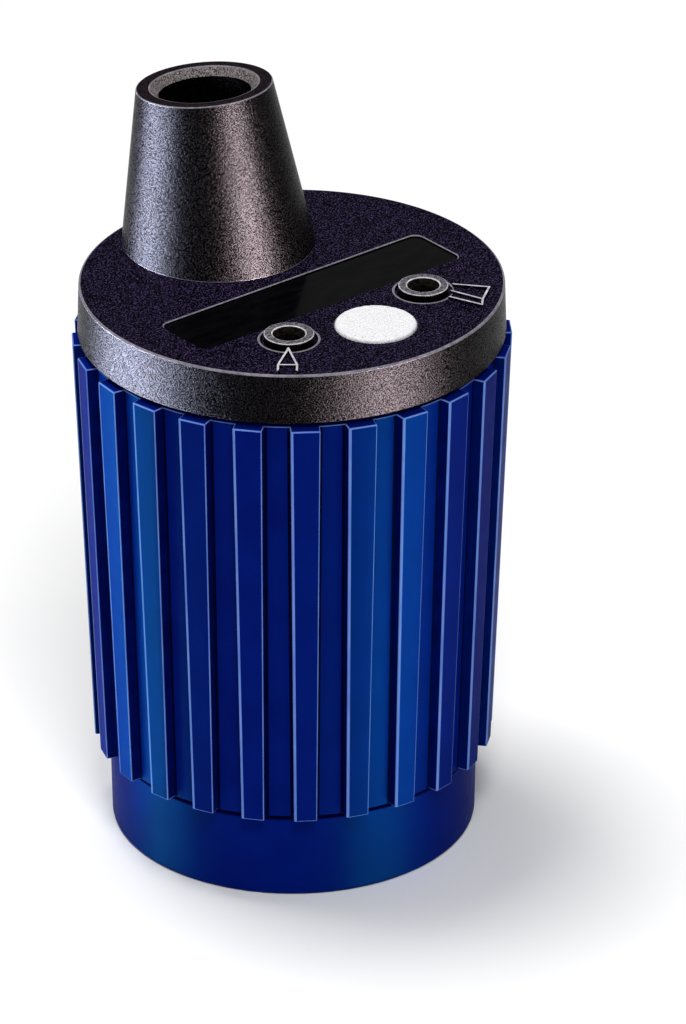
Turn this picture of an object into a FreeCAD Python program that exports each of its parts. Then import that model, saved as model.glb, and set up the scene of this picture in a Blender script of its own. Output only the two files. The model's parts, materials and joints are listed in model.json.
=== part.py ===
import FreeCAD, Part
import math
import os
import re

import Sketcher

# Rotary lead pointer: a dust cup, a ribbed sleeve that slides over it, and a turning head with a leaning
# guide for the lead holder. Stirring the holder turns the head, and a gear train spins the cutter inside.
# Origin: centre of the base on the table. +Z is up, and the guide leans towards +Y.

# Driving dimensions, in millimetres, degrees and counts
SIZES = {
    # Dust cup
    "base_bottom_radius": 18.18,
    "base_top_radius": 18.32,
    "base_height": 9.28,
    "base_edge": 0.4,
    "foot_width": 3.0,
    "foot_recess": 0.6,
    "cup_floor": 2.0,
    "cup_wall": 1.5,
    "cup_corner": 2.0,
    "spigot_fit": 0.1,
    "spigot_lead": 0.5,
    "spigot_headroom": 1.0,
    # Ribbed sleeve
    "sleeve_height": 43.52,
    "sleeve_foot_wall": 1.82,
    "rib_top_radius": 21.39,
    "rib_bottom_radius": 19.91,
    "rib_height": 1.09,
    "rib_width": 2.45,
    "rib_count": 24,
    "rib_phase": 9.5,
    "ledge_rise": 20.72,
    "ledge_thick": 2.0,
    "ledge_width": 1.1,
    "neck_wall": 1.05,
    # Head cap
    "lid_gap": 0.55,
    "lid_height": 5.11,
    "lid_top_radius": 20.7,
    "lid_bottom_radius": 20.87,
    "lid_edge": 0.35,
    "lid_plate": 2.06,
    "lid_wall": 1.45,
    "lip_height": 0.7,
    "bead_height": 0.8,
    "snap_grip": 0.3,
    "running_gap": 0.25,
    "boss_length": 6.9,
    "boss_radius": 2.4,
    "boss_inset": 0.8,
    "boss_back": 1.5,
    # Lid furniture
    "pad_reach": 12.8,
    "pad_radius": 3.95,
    "pad_thick": 1.75,
    "pad_sink": 1.46,
    "pad_edge": 0.25,
    "gauge_across": 8.35,
    "gauge_reach": 9.9,
    "gauge_radius": 2.0,
    "gauge_floor": 0.8,
    "gauge_mouth": 1.62,
    "collar_radius": 2.42,
    "collar_height": 0.65,
    "collar_edge": 0.25,
    "sharp_depth": 13.4,
    "blunt_depth": 10.4,
    "badge_length": 32.0,
    "badge_width": 6.85,
    "badge_reach": 3.125,
    "badge_corner": 1.0,
    "badge_sink": 0.5,
    "badge_thick": 0.3,
    # Holder guide, with lengths measured up the lead axis from the point of the lead
    "guide_tilt": 6.55,
    "guide_length": 39.2,
    "guide_flare": 9.77,
    "mouth_radius": 6.7,
    "mouth_edge": 5.35,
    "mouth_bevel": 0.8,
    "holder_radius": 4.55,
    "seat_length": 11.8,
    "seat_radius": 1.9,
    "guide_neck_radius": 5.6,
    "guide_nose_radius": 3.4,
    "nose_taper": 5.0,
    "nose_clear": 0.7,
    "nose_fit": 0.1,
    "tube_radius": 2.42,
    "tube_grip": 1.8,
    "tube_lift": 1.4,
    "lead_bore": 1.15,
    # Gear frame and lower bridge
    "frame_plate": 2.5,
    "plate_clear": 2.0,
    "plate_gap": 0.5,
    "pillar_radius": 1.7,
    "eye_radius": 2.2,
    "pillar_clear": 0.45,
    "bridge_drop": 0.4,
    "bridge_plate": 2.0,
    "arm_radius": 2.5,
    # Gears, with addendum and dedendum in modules
    "ring_rim": 2.35,
    "ring_width": 4.0,
    "ring_teeth": 48,
    "idler_teeth": 26,
    "pinion_teeth": 11,
    "pressure_angle": 25.0,
    "addendum": 0.8,
    "dedendum": 1.0,
    "backlash": 0.08,
    "gear_width": 3.0,
    "hub_radius": 2.2,
    "hub_height": 1.6,
    "lug_count": 3,
    "lug_width": 3.0,
    "lug_depth": 1.4,
    # Cutter and its axle
    "cutter_radius": 4.5,
    "cutter_clear": 0.4,
    "tip_lift": 0.8,
    "stop_clear": 3.0,
    "flute_count": 18,
    "flute_depth": 0.6,
    "flute_width": 0.9,
    "axle_radius": 1.25,
    "axle_tail": 0.4,
    "axle_head": 1.4,
    "bush_wall": 1.05,
    "flange_width": 0.7,
    "flange_thick": 0.6,
    "washer_thick": 0.5,
    "end_play": 0.1,
    # Idler pin, clips and screws
    "pin_radius": 1.0,
    "pin_head": 1.2,
    "clip_thick": 0.4,
    "clip_width": 1.0,
    "clip_groove": 0.3,
    "screw_radius": 1.0,
    "screw_head_radius": 1.9,
    "screw_head_height": 1.2,
    "screw_grip": 5.0,
    "slot_width": 0.5,
    "slot_depth": 0.6,
    # Fits
    "shaft_gap": 0.05,
    "seat_gap": 0.03,
}

# Sizes that follow from the driving ones
DERIVED = {
    "sleeve_top": "base_height + sleeve_height",
    "lid_bottom": "sleeve_top + lid_gap",
    "lid_top": "lid_bottom + lid_height",
    "lid_under": "lid_top - lid_plate",
    "groove_radius": "min(lid_top_radius; lid_bottom_radius) - lid_wall",
    "bead_radius": "groove_radius - running_gap",
    "lip_radius": "bead_radius - snap_grip",
    "neck_radius": "lip_radius - running_gap",
    "bore_radius": "neck_radius - neck_wall",
    "groove_bottom": "lid_bottom + lip_height",
    "bead_bottom": "groove_bottom + running_gap",
    "bead_top": "bead_bottom + bead_height",
    "groove_top": "bead_top + running_gap",
    "root_top": "rib_top_radius - rib_height",
    "root_bottom": "rib_bottom_radius - rib_height",
    "socket_radius": "root_bottom - sleeve_foot_wall",
    "spigot_radius": "socket_radius - spigot_fit",
    "cup_radius": "spigot_radius - cup_wall",
    "foot_inner": "base_bottom_radius - base_edge - foot_width",
    "ledge_top": "base_height + ledge_rise",
    "ledge_bottom": "ledge_top - ledge_thick",
    "ledge_radius": "bore_radius - ledge_width",
    "spigot_top": "ledge_bottom - spigot_headroom",
    "ring_radius": "bore_radius - shaft_gap",
    "ring_root": "ring_radius - ring_rim",
    "ring_pitch": "ring_root / (1 + 2 * dedendum / ring_teeth)",
    "gear_module": "2 * ring_pitch / ring_teeth",
    "ring_tip": "ring_pitch - addendum * gear_module",
    "idler_pitch": "gear_module * idler_teeth / 2",
    "pinion_pitch": "gear_module * pinion_teeth / 2",
    "idler_y": "idler_pitch - ring_pitch",
    "cutter_y": "idler_y + idler_pitch + pinion_pitch",
    "frame_top": "lid_under - boss_length",
    "frame_bottom": "frame_top - frame_plate",
    "plate_radius": "bore_radius - plate_clear",
    "plate_front": "gauge_reach - gauge_radius - plate_gap",
    "boss_x": "plate_radius - boss_radius - boss_inset",
    "boss_front": "plate_front - boss_radius - boss_inset",
    "bridge_top": "ledge_top - bridge_drop",
    "bridge_bottom": "bridge_top - bridge_plate",
    "pillar_reach": "ring_tip - eye_radius - pillar_clear",
    "pillar_x": "sqrt(pillar_reach * pillar_reach - cutter_y * cutter_y)",
    "bush_bore": "axle_radius + shaft_gap",
    "bush_radius": "bush_bore + bush_wall",
    "flange_radius": "bush_radius + flange_width",
    "gear_bottom": "bridge_top + flange_thick",
    "gear_top": "gear_bottom + gear_width",
    "cutter_bottom": "gear_top + hub_height",
    "washer_top": "frame_bottom - flange_thick - end_play",
    "cutter_top": "washer_top - washer_thick",
    "axle_bottom": "bridge_bottom - axle_tail",
    "axle_top": "frame_top + axle_head",
    "axle_clip_bottom": "frame_top + end_play",
    "idler_bush_bore": "pin_radius + shaft_gap",
    "idler_bush_radius": "idler_bush_bore + flange_width",
    "idler_bush_bottom": "bridge_top + end_play",
    "idler_bush_top": "gear_top + end_play",
    "idler_clip_bottom": "idler_bush_top + end_play",
    "tip_y": "cutter_y + cutter_radius",
    "stop_tip_z": "cutter_top + stop_clear - sharp_depth * cos(guide_tilt)",
    "tip_z": "max(cutter_bottom + tip_lift; stop_tip_z)",
    "lid_reach": "(lid_top - tip_z) / cos(guide_tilt)",
    "cone_start": "lid_reach - lid_plate",
    "nose_bottom": "sharp_depth - tube_grip",
    "nose_top": "(frame_top + nose_clear - tip_z) / cos(guide_tilt)",
}

WORD = re.compile(r"[a-z][a-z_]*")
X_AXIS = FreeCAD.Vector(1, 0, 0)
Z_AXIS = FreeCAD.Vector(0, 0, 1)
FULL_TURN = 360

doc = FreeCAD.newDocument("lead_pointer")


def make_sheet():
    """The spreadsheet that holds every driving dimension under its own name."""
    cells = doc.addObject("Spreadsheet::Sheet", "Sizes")
    for row, (name, number) in enumerate(SIZES.items(), start=1):
        cells.set(f"A{row}", name.replace("_", " "))
        cells.set(f"B{row}", str(number))
        cells.setAlias(f"B{row}", name)
    doc.recompute()
    return cells


sheet = make_sheet()


def formula(text):
    """Turns a formula of size names into a document expression."""

    def expand(match):
        word = match.group()
        if word in SIZES:
            return f"Sizes.{word}"
        if word in DERIVED:
            return f"({formula(DERIVED[word])})"
        return word

    return WORD.sub(expand, text)


def value(text):
    """The number that a formula of size names gives now."""
    result = sheet.evalExpression(formula(text))
    return float(getattr(result, "Value", result))


def bind(item, **formulas):
    """Binds properties of a document object to formulas of size names."""
    for name, text in formulas.items():
        item.setExpression(name, formula(text))


def place(item, x="0", y="0", z="0"):
    """Binds an object's position to formulas of size names."""
    for axis, text in (("x", x), ("y", y), ("z", z)):
        item.setExpression(f"Placement.Base.{axis}", formula(text))
    return item


def turn(item, axis, angle):
    """Binds an object's rotation about an axis to a formula in degrees."""
    item.Placement = FreeCAD.Placement(item.Placement.Base, FreeCAD.Rotation(axis, value(angle)))
    item.setExpression("Placement.Rotation.Angle", formula(angle))
    return item


def lean(item):
    """Stands an object on the point of the lead, with its Z axis along the lead."""
    place(item, y="tip_y", z="tip_z")
    return turn(item, -X_AXIS, "guide_tilt")


def origin_feature(body, role):
    """An origin plane or axis of a body, found by its role."""
    return next(item for item in body.Origin.OriginFeatures if item.Role == role)


def outline(body, plane, corners):
    """A closed sketch of straight lines whose corners are bound to pairs of formulas."""
    sketch = body.newObject("Sketcher::SketchObject", f"{body.Name}_outline")
    sketch.AttachmentSupport = [(origin_feature(body, plane), "")]
    sketch.MapMode = "FlatFace"
    points = [FreeCAD.Vector(value(across), value(up), 0) for across, up in corners]
    count = len(points)
    for index in range(count):
        sketch.addGeometry(Part.LineSegment(points[index], points[(index + 1) % count]))
    for index in range(count):
        sketch.addConstraint(Sketcher.Constraint("Coincident", index, 2, (index + 1) % count, 1))
    for index, texts in enumerate(corners):
        for kind, text, number, axis in zip(("DistanceX", "DistanceY"), texts, points[index], (-2, -1)):
            if text == "0":
                sketch.addConstraint(Sketcher.Constraint("PointOnObject", index, 1, axis))
                continue
            datum = sketch.addConstraint(Sketcher.Constraint(kind, -1, 1, index, 1, number))
            sketch.setExpression(f"Constraints[{datum}]", formula(text))
    return sketch


def turned(name, *corners):
    """A body turned about its own Z axis from an outline of (radius, height) formulas."""
    body = doc.addObject("PartDesign::Body", name)
    sketch = outline(body, "XZ_Plane", corners)
    solid = body.newObject("PartDesign::Revolution", f"{name}_turned")
    solid.Profile = sketch
    solid.ReferenceAxis = (sketch, ["V_Axis"])
    solid.Angle = FULL_TURN
    sketch.Visibility = False
    return body


def ring(name, inner, outer, bottom, top):
    """A plain turned ring between two radii and two heights."""
    return turned(name, (inner, bottom), (outer, bottom), (outer, top), (inner, top))


def rod(name, radius, bottom, top, x="0", y="0"):
    """An upright cylinder."""
    item = doc.addObject("Part::Cylinder", name)
    bind(item, Radius=radius, Height=f"({top}) - ({bottom})")
    return place(item, x, y, bottom)


def block(name, length, width, bottom, top, x="0", y="0"):
    """An upright box centred on x and y."""
    item = doc.addObject("Part::Box", name)
    bind(item, Length=length, Width=width, Height=f"({top}) - ({bottom})")
    return place(item, f"({x}) - ({length}) / 2", f"({y}) - ({width}) / 2", bottom)


def cut(name, base, *tools):
    """A solid less one or more others."""
    item = doc.addObject("Part::Cut", name)
    item.Base = base
    item.Tool = tools[0] if len(tools) == 1 else fuse(f"{name}_cutters", *tools)
    return item


def fuse(name, *shapes):
    """Several solids joined into one."""
    item = doc.addObject("Part::MultiFuse", name)
    item.Shapes = list(shapes)
    item.Refine = True
    return item


def group(name, items):
    """Separate solids kept together as one sub-part."""
    item = doc.addObject("Part::Compound", name)
    item.Links = list(items)
    return item


def polar_pattern(body, feature, count):
    """Repeats a feature round the body's Z axis."""
    pattern = body.newObject("PartDesign::PolarPattern", f"{feature.Name}_pattern")
    pattern.Originals = [feature]
    pattern.Axis = (origin_feature(body, "Z_Axis"), [""])
    pattern.Angle = FULL_TURN
    bind(pattern, Occurrences=count)
    body.Tip = pattern
    return pattern


def lug(name, index, gap):
    """One of the lugs that key the gear ring to its ledge, widened by a gap for its notch."""
    item = doc.addObject("Part::Box", name)
    bind(item, Length="ring_radius - ledge_radius + shaft_gap", Width=f"lug_width + 2 * ({gap})")
    bind(item, Height=f"lug_depth + 2 * ({gap})")
    angle = FULL_TURN / value("lug_count") * index
    corner = FreeCAD.Vector(value("ledge_radius - shaft_gap"), -value(f"lug_width / 2 + {gap}"), 0)
    corner.z = value(f"ledge_top - lug_depth - {gap}")
    spin = FreeCAD.Rotation(Z_AXIS, angle)
    item.Placement = FreeCAD.Placement(spin.multVec(corner), spin)
    return item


def lugs(name, gap):
    """All the lugs, or their notches."""
    return [lug(f"{name}_{index}", index, gap) for index in range(round(value("lug_count")))]


def dust_cup():
    """The foot, the dust chamber and the spigot that the sleeve slides over."""
    return turned(
        "dust_cup",
        ("0", "foot_recess"),
        ("foot_inner", "foot_recess"),
        ("foot_inner", "0"),
        ("base_bottom_radius - base_edge", "0"),
        ("base_bottom_radius", "base_edge"),
        ("base_top_radius", "base_height"),
        ("spigot_radius", "base_height"),
        ("spigot_radius", "spigot_top - spigot_lead"),
        ("spigot_radius - spigot_lead", "spigot_top"),
        ("cup_radius", "spigot_top"),
        ("cup_radius", "cup_floor + cup_corner"),
        ("cup_radius - cup_corner", "cup_floor"),
        ("0", "cup_floor"),
    )


def ribbed_sleeve():
    """The tapered body with its ribs, the ledge for the gear ring and the neck with its snap bead."""
    body = turned(
        "sleeve_body",
        ("socket_radius", "base_height"),
        ("root_bottom", "base_height"),
        ("root_top", "sleeve_top"),
        ("neck_radius", "sleeve_top"),
        ("neck_radius", "bead_bottom"),
        ("bead_radius", "bead_bottom"),
        ("bead_radius", "bead_top"),
        ("neck_radius", "bead_top"),
        ("neck_radius", "lid_under"),
        ("bore_radius", "lid_under"),
        ("bore_radius", "ledge_top"),
        ("ledge_radius", "ledge_top"),
        ("ledge_radius", "ledge_bottom"),
        ("socket_radius", "ledge_bottom"),
    )
    side = outline(
        body,
        "XZ_Plane",
        [
            ("root_bottom - rib_height", "base_height"),
            ("rib_bottom_radius", "base_height"),
            ("rib_top_radius", "sleeve_top"),
            ("root_top - rib_height", "sleeve_top"),
        ],
    )
    rib = body.newObject("PartDesign::Pad", "rib")
    rib.Profile = side
    rib.Midplane = True
    bind(rib, Length="rib_width")
    polar_pattern(body, rib, "rib_count")
    turn(body, Z_AXIS, "rib_phase")
    return cut("ribbed_sleeve", body, *lugs("lug_notch", "seat_gap"))


def lid_rounded_block(name, gap, bottom, top):
    """The rounded oblong of the badge plate, or of its recess with a gap all round."""
    body = doc.addObject("PartDesign::Body", name)
    half_length = f"badge_length / 2 + ({gap})"
    half_width = f"badge_width / 2 + ({gap})"
    signs = (("-", "-"), ("", "-"), ("", ""), ("-", ""))
    corners = [(f"{across}({half_length})", f"{up}({half_width})") for across, up in signs]
    sketch = outline(body, "XY_Plane", corners)
    plate = body.newObject("PartDesign::Pad", f"{name}_plate")
    plate.Profile = sketch
    bind(plate, Length=f"({top}) - ({bottom})")
    doc.recompute()
    boxes = [edge.BoundBox for edge in plate.Shape.Edges]
    upright = [
        f"Edge{number}"
        for number, box in enumerate(boxes, start=1)
        if box.ZLength > max(box.XLength, box.YLength)
    ]
    rounded = body.newObject("PartDesign::Fillet", f"{name}_corners")
    rounded.Base = (plate, upright)
    bind(rounded, Radius=f"badge_corner + ({gap})")
    return place(body, y="-badge_reach", z=bottom)


def head_cap():
    """The turning lid: top plate, skirt with its snap groove, screw bosses and the seats in its top."""
    shell = turned(
        "lid_shell",
        ("0", "lid_top"),
        ("lid_top_radius - lid_edge", "lid_top"),
        ("lid_top_radius", "lid_top - lid_edge"),
        ("lid_bottom_radius", "lid_bottom"),
        ("lip_radius", "lid_bottom"),
        ("lip_radius", "groove_bottom"),
        ("groove_radius", "groove_bottom"),
        ("groove_radius", "groove_top"),
        ("lip_radius", "groove_top"),
        ("lip_radius", "lid_under"),
        ("0", "lid_under"),
    )
    bosses = [
        rod(f"lid_boss_{index}", "boss_radius", "frame_top", "lid_top - lid_plate / 2", x, y)
        for index, (x, y) in enumerate(FRAME_SCREW_PLACES)
    ]
    pilot_top = "frame_top + screw_grip + end_play"
    pilots = [
        rod(f"lid_pilot_{index}", "screw_radius + seat_gap", "frame_top", pilot_top, x, y)
        for index, (x, y) in enumerate(FRAME_SCREW_PLACES)
    ]
    gauge_seats = [
        rod(f"gauge_seat_{index}", "gauge_radius + seat_gap", "lid_under", "lid_top", x, "-gauge_reach")
        for index, x in enumerate(("-gauge_across", "gauge_across"))
    ]
    pad_seat = rod("pad_seat", "pad_radius + seat_gap", "lid_top - pad_sink", "lid_top", "0", "-pad_reach")
    badge_seat = lid_rounded_block("badge_seat", "seat_gap", "lid_top - badge_sink", "lid_top")
    guide_seat = doc.addObject("Part::Cylinder", "guide_seat")
    bind(guide_seat, Radius="guide_neck_radius + seat_gap", Height="guide_length")
    lean(guide_seat)
    solid = fuse("lid_with_bosses", shell, *bosses)
    return cut("head_cap", solid, *pilots, *gauge_seats, pad_seat, badge_seat, guide_seat)


def guide_cone():
    """The leaning guide: a cone on the lid, a neck through it and a nose seat for the holder."""
    cone = doc.addObject("Part::Cone", "guide_flare")
    bind(cone, Height="guide_length - cone_start", Radius2="mouth_radius")
    bind(cone, Radius1="mouth_radius + (guide_length - cone_start) * tan(guide_flare)")
    place(cone, y="tip_y + cone_start * sin(guide_tilt)", z="tip_z + cone_start * cos(guide_tilt)")
    turn(cone, -X_AXIS, "guide_tilt")
    lid_width = "2 * lid_top_radius"
    below_lid = block("below_lid", lid_width, lid_width, "lid_bottom", "lid_top", y="tip_y")
    neck = lean(
        turned(
            "guide_neck",
            ("0", "nose_bottom"),
            ("guide_nose_radius", "nose_bottom"),
            ("guide_nose_radius", "nose_top"),
            ("guide_neck_radius", "nose_top + nose_taper"),
            ("guide_neck_radius", "lid_reach + lid_plate"),
            ("0", "lid_reach + lid_plate"),
        )
    )
    bore = lean(
        turned(
            "guide_bore",
            ("0", "nose_bottom"),
            ("tube_radius + seat_gap", "nose_bottom"),
            ("tube_radius + seat_gap", "sharp_depth"),
            ("seat_radius", "sharp_depth"),
            ("holder_radius", "sharp_depth + seat_length"),
            ("holder_radius", "guide_length - mouth_bevel"),
            ("mouth_edge", "guide_length"),
            ("0", "guide_length"),
        )
    )
    solid = fuse("guide_solid", cut("guide_flare_on_lid", cone, below_lid), neck)
    return cut("guide_cone", solid, bore)


def lead_guide():
    """The steel tube that backs the lead, open on the cutter's side."""
    tube = lean(ring("lead_tube", "lead_bore", "tube_radius", "tube_lift", "sharp_depth"))
    sweep = rod(
        "cutter_sweep",
        "cutter_radius + cutter_clear",
        "cutter_bottom",
        "cutter_top + cutter_clear",
        y="cutter_y",
    )
    return cut("lead_guide", tube, sweep)


def gauge(name, depth):
    """A gauge cup: a collar on the lid and a blind tube as deep as the lead should stand out."""
    top = "lid_top + collar_height"
    return turned(
        name,
        ("0", f"{top} - {depth} - gauge_floor"),
        ("gauge_radius", f"{top} - {depth} - gauge_floor"),
        ("gauge_radius", "lid_top"),
        ("collar_radius", "lid_top"),
        ("collar_radius", f"{top} - collar_edge"),
        ("collar_radius - collar_edge", top),
        ("gauge_mouth", top),
        ("lead_bore", f"{top} - collar_height"),
        ("lead_bore", f"{top} - {depth}"),
        ("0", f"{top} - {depth}"),
    )


def cleaning_pad():
    """The felt disc in its seat, standing a little proud of the lid."""
    bottom = "lid_top - pad_sink"
    pad = turned(
        "cleaning_pad",
        ("0", bottom),
        ("pad_radius", bottom),
        ("pad_radius", f"{bottom} + pad_thick - pad_edge"),
        ("pad_radius - pad_edge", f"{bottom} + pad_thick"),
        ("0", f"{bottom} + pad_thick"),
    )
    return place(pad, y="-pad_reach")


def gear_frame():
    """The plate under the lid with the two pillars that carry the lower bridge."""
    disc = rod("frame_disc", "plate_radius", "frame_bottom", "frame_top")
    front = block(
        "frame_front",
        "2 * plate_radius",
        "plate_radius",
        "frame_bottom",
        "frame_top",
        y="-plate_front - plate_radius / 2",
    )
    pillars = [
        rod(f"pillar_{index}", "pillar_radius", "bridge_top", "frame_top", x, "cutter_y")
        for index, x in enumerate(PILLAR_PLACES)
    ]
    screw_holes = [
        rod(f"frame_hole_{index}", "screw_radius + nose_fit", "frame_bottom", "frame_top", x, y)
        for index, (x, y) in enumerate(FRAME_SCREW_PLACES)
    ]
    pilots = [
        rod(
            f"pillar_pilot_{index}",
            "screw_radius + seat_gap",
            "bridge_top",
            "bridge_top + screw_grip + end_play",
            x,
            "cutter_y",
        )
        for index, x in enumerate(PILLAR_PLACES)
    ]
    bush_hole = rod("upper_bush_hole", "bush_radius + seat_gap", "frame_bottom", "frame_top", y="cutter_y")
    nose_hole = doc.addObject("Part::Cylinder", "nose_hole")
    bind(nose_hole, Radius="guide_nose_radius + nose_fit", Height="guide_length")
    lean(nose_hole)
    plate = cut("frame_plate_shape", disc, front)
    solid = fuse("frame_solid", plate, *pillars)
    return cut("gear_frame", solid, *screw_holes, *pilots, bush_hole, nose_hole)


def lower_bridge():
    """The T-shaped plate under the gears: two eyes for the pillars and an arm for the idler pin."""
    levels = ("bridge_bottom", "bridge_top")
    bar = block("bridge_bar", "2 * pillar_x", "2 * eye_radius", *levels, y="cutter_y")
    eyes = [
        rod(f"bridge_eye_{index}", "eye_radius", *levels, x, "cutter_y")
        for index, x in enumerate(PILLAR_PLACES)
    ]
    arm_length = "cutter_y - idler_y"
    arm = block("bridge_arm", "2 * arm_radius", arm_length, *levels, y="(cutter_y + idler_y) / 2")
    arm_end = rod("bridge_arm_end", "arm_radius", *levels, y="idler_y")
    hub = rod("bridge_hub", "flange_radius", *levels, y="cutter_y")
    screw_holes = [
        rod(f"bridge_hole_{index}", "screw_radius + nose_fit", *levels, x, "cutter_y")
        for index, x in enumerate(PILLAR_PLACES)
    ]
    bush_hole = rod("lower_bush_hole", "bush_radius + seat_gap", *levels, y="cutter_y")
    pin_hole = rod("idler_pin_hole", "pin_radius + seat_gap", *levels, y="idler_y")
    solid = fuse("bridge_solid", bar, *eyes, arm, arm_end, hub)
    return cut("lower_bridge", solid, *screw_holes, bush_hole, pin_hole)


def screw(name, x, y, under_head, plate):
    """A slotted screw driven upwards, with its head below a plate."""
    bottom = f"({under_head}) - screw_head_height"
    body = turned(
        f"{name}_body",
        ("0", bottom),
        ("screw_head_radius - slot_depth / 2", bottom),
        ("screw_head_radius", f"{bottom} + slot_depth / 2"),
        ("screw_head_radius", under_head),
        ("screw_radius", under_head),
        ("screw_radius", f"{under_head} + {plate} + screw_grip - screw_radius"),
        ("0", f"{under_head} + {plate} + screw_grip"),
    )
    place(body, x, y)
    slot = block(
        f"{name}_slot", "2 * screw_head_radius", "slot_width", bottom, f"{bottom} + slot_depth", x, y
    )
    return cut(name, body, slot)


def screws(name, places, under_head, plate):
    """A set of like screws at several places."""
    return group(
        name, [screw(f"{name}_{index}", x, y, under_head, plate) for index, (x, y) in enumerate(places)]
    )


def bush(name, bottom, top, flange_bottom, flange_top):
    """A flanged bearing bush for the cutter axle, with its flange at either end."""
    sleeve = ring(f"{name}_sleeve", "bush_bore", "bush_radius", bottom, top)
    flange = ring(f"{name}_flange", "bush_bore", "flange_radius", flange_bottom, flange_top)
    for item in (sleeve, flange):
        place(item, y="cutter_y")
    return fuse(name, sleeve, flange)


def grooved_shaft(name, radius, y, bottom, top, clip_bottom):
    """A shaft with bevelled ends and a groove for its clip."""
    bevel = "clip_groove"
    groove = f"{radius} - clip_groove"
    groove_top = f"{clip_bottom} + clip_thick + seat_gap"
    body = turned(
        name,
        ("0", bottom),
        (f"{radius} - {bevel}", bottom),
        (radius, f"{bottom} + {bevel}"),
        (radius, f"{clip_bottom} - seat_gap"),
        (groove, f"{clip_bottom} - seat_gap"),
        (groove, groove_top),
        (radius, groove_top),
        (radius, f"{top} - {bevel}"),
        (f"{radius} - {bevel}", top),
        ("0", top),
    )
    return place(body, y=y)


def clip(name, radius, bottom, y):
    """A retaining clip: a flat ring, open on one side, in a shaft's groove."""
    inner = f"{radius} - clip_groove + seat_gap"
    flat = ring(f"{name}_ring", inner, f"{radius} + clip_width", bottom, f"{bottom} + clip_thick")
    place(flat, y=y)
    opening = block(
        f"{name}_opening",
        f"2 * ({inner}) - 2 * seat_gap",
        f"{radius} + clip_width",
        bottom,
        f"{bottom} + clip_thick",
        y=f"({y}) - ({radius} + clip_width) / 2",
    )
    return cut(name, flat, opening)


def cutter():
    """The fluted steel cutter on its axle."""
    body = ring("cutter", "axle_radius + seat_gap", "cutter_radius", "0", "cutter_top - cutter_bottom")
    flute_section = outline(
        body,
        "XY_Plane",
        [
            ("cutter_radius - flute_depth", "0"),
            ("cutter_radius + flute_depth", "0"),
            ("cutter_radius + flute_depth", "2 * flute_width"),
        ],
    )
    doc.recompute()
    blank_volume = body.Shape.Volume
    flute = body.newObject("PartDesign::Pocket", "flute")
    flute.Profile = flute_section
    flute.Type = "ThroughAll"
    flute.Reversed = True
    polar_pattern(body, flute, "flute_count")
    doc.recompute()
    if body.Shape.Volume >= blank_volume:
        raise RuntimeError("the flutes cut nothing")
    return place(body, y="cutter_y", z="cutter_bottom")


def involute(angle):
    """The involute of an angle in radians."""
    return math.tan(angle) - angle


def polar(radius, angle):
    """A point at a radius and an angle in radians."""
    return FreeCAD.Vector(radius * math.cos(angle), radius * math.sin(angle), 0)


def gear_prism(teeth, root, tip, extra_width, phase, width):
    """A prism with involute teeth; the first tooth is centred on the phase, an angle in degrees."""
    pressure = math.radians(value("pressure_angle"))
    pitch_radius = value("gear_module") * teeth / 2
    base_radius = pitch_radius * math.cos(pressure)
    thickness = math.pi * value("gear_module") / 2 + extra_width
    start = max(root, base_radius)

    def half_angle(radius):
        local_pressure = math.acos(base_radius / radius)
        return thickness / (2 * pitch_radius) + involute(pressure) - involute(local_pressure)

    edges = []
    step = 2 * math.pi / teeth
    for tooth in range(teeth):
        centre = math.radians(phase) + tooth * step
        rising, falling = (
            [polar(radius, centre + side * half_angle(radius)) for radius in (start, (start + tip) / 2, tip)]
            for side in (-1, 1)
        )
        foot_in = polar(root, centre - half_angle(start))
        foot_out = polar(root, centre + half_angle(start))
        next_foot = polar(root, centre + step - half_angle(start))
        if start > root:
            edges.append(Part.LineSegment(foot_in, rising[0]).toShape())
        edges.append(Part.Arc(*rising).toShape())
        edges.append(Part.Arc(rising[2], polar(tip, centre), falling[2]).toShape())
        edges.append(Part.Arc(*reversed(falling)).toShape())
        if start > root:
            edges.append(Part.LineSegment(falling[0], foot_out).toShape())
        edges.append(Part.Arc(foot_out, polar(root, centre + step / 2), next_foot).toShape())
    return Part.Face(Part.Wire(edges)).extrude(FreeCAD.Vector(0, 0, width))


def gear_feature(name, shape, y, z):
    """A document object that holds a toothed shape at its place."""
    item = doc.addObject("Part::Feature", name)
    item.Shape = shape
    item.Placement = FreeCAD.Placement(FreeCAD.Vector(0, value(y), value(z)), FreeCAD.Rotation())
    return item


def outer_gear(name, count, phase, y):
    """An external gear blank with its teeth, at the level of the gear train."""
    pitch_radius = value(f"gear_module * {count} / 2")
    root = pitch_radius - value("dedendum * gear_module")
    tip = pitch_radius + value("addendum * gear_module")
    teeth = round(value(count))
    shape = gear_prism(teeth, root, tip, -value("backlash / 2"), phase, value("gear_width"))
    return gear_feature(name, shape, y, "gear_bottom")


def gear_ring():
    """The internal gear in the sleeve, with a tooth space towards the idler and lugs in the ledge."""
    teeth = round(value("ring_teeth"))
    width = value("ring_width")
    tip = value("ring_tip")
    root = value("ring_root")
    spaces = gear_prism(teeth, tip, root, value("backlash / 2"), TOWARDS_RING, width)
    blank = Part.makeCylinder(value("ring_radius"), width)
    toothed = gear_feature("ring_teeth_shape", blank.cut(spaces), "0", "ledge_top")
    return fuse("gear_ring", toothed, *lugs("ring_lug", "0"))


def idler_gear():
    """The idler, with a tooth towards the ring."""
    toothed = outer_gear("idler_teeth_shape", "idler_teeth", TOWARDS_RING, "idler_y")
    bore = rod("idler_bore", "idler_bush_radius + seat_gap", "gear_bottom", "gear_top", y="idler_y")
    return cut("idler_gear", toothed, bore)


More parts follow.
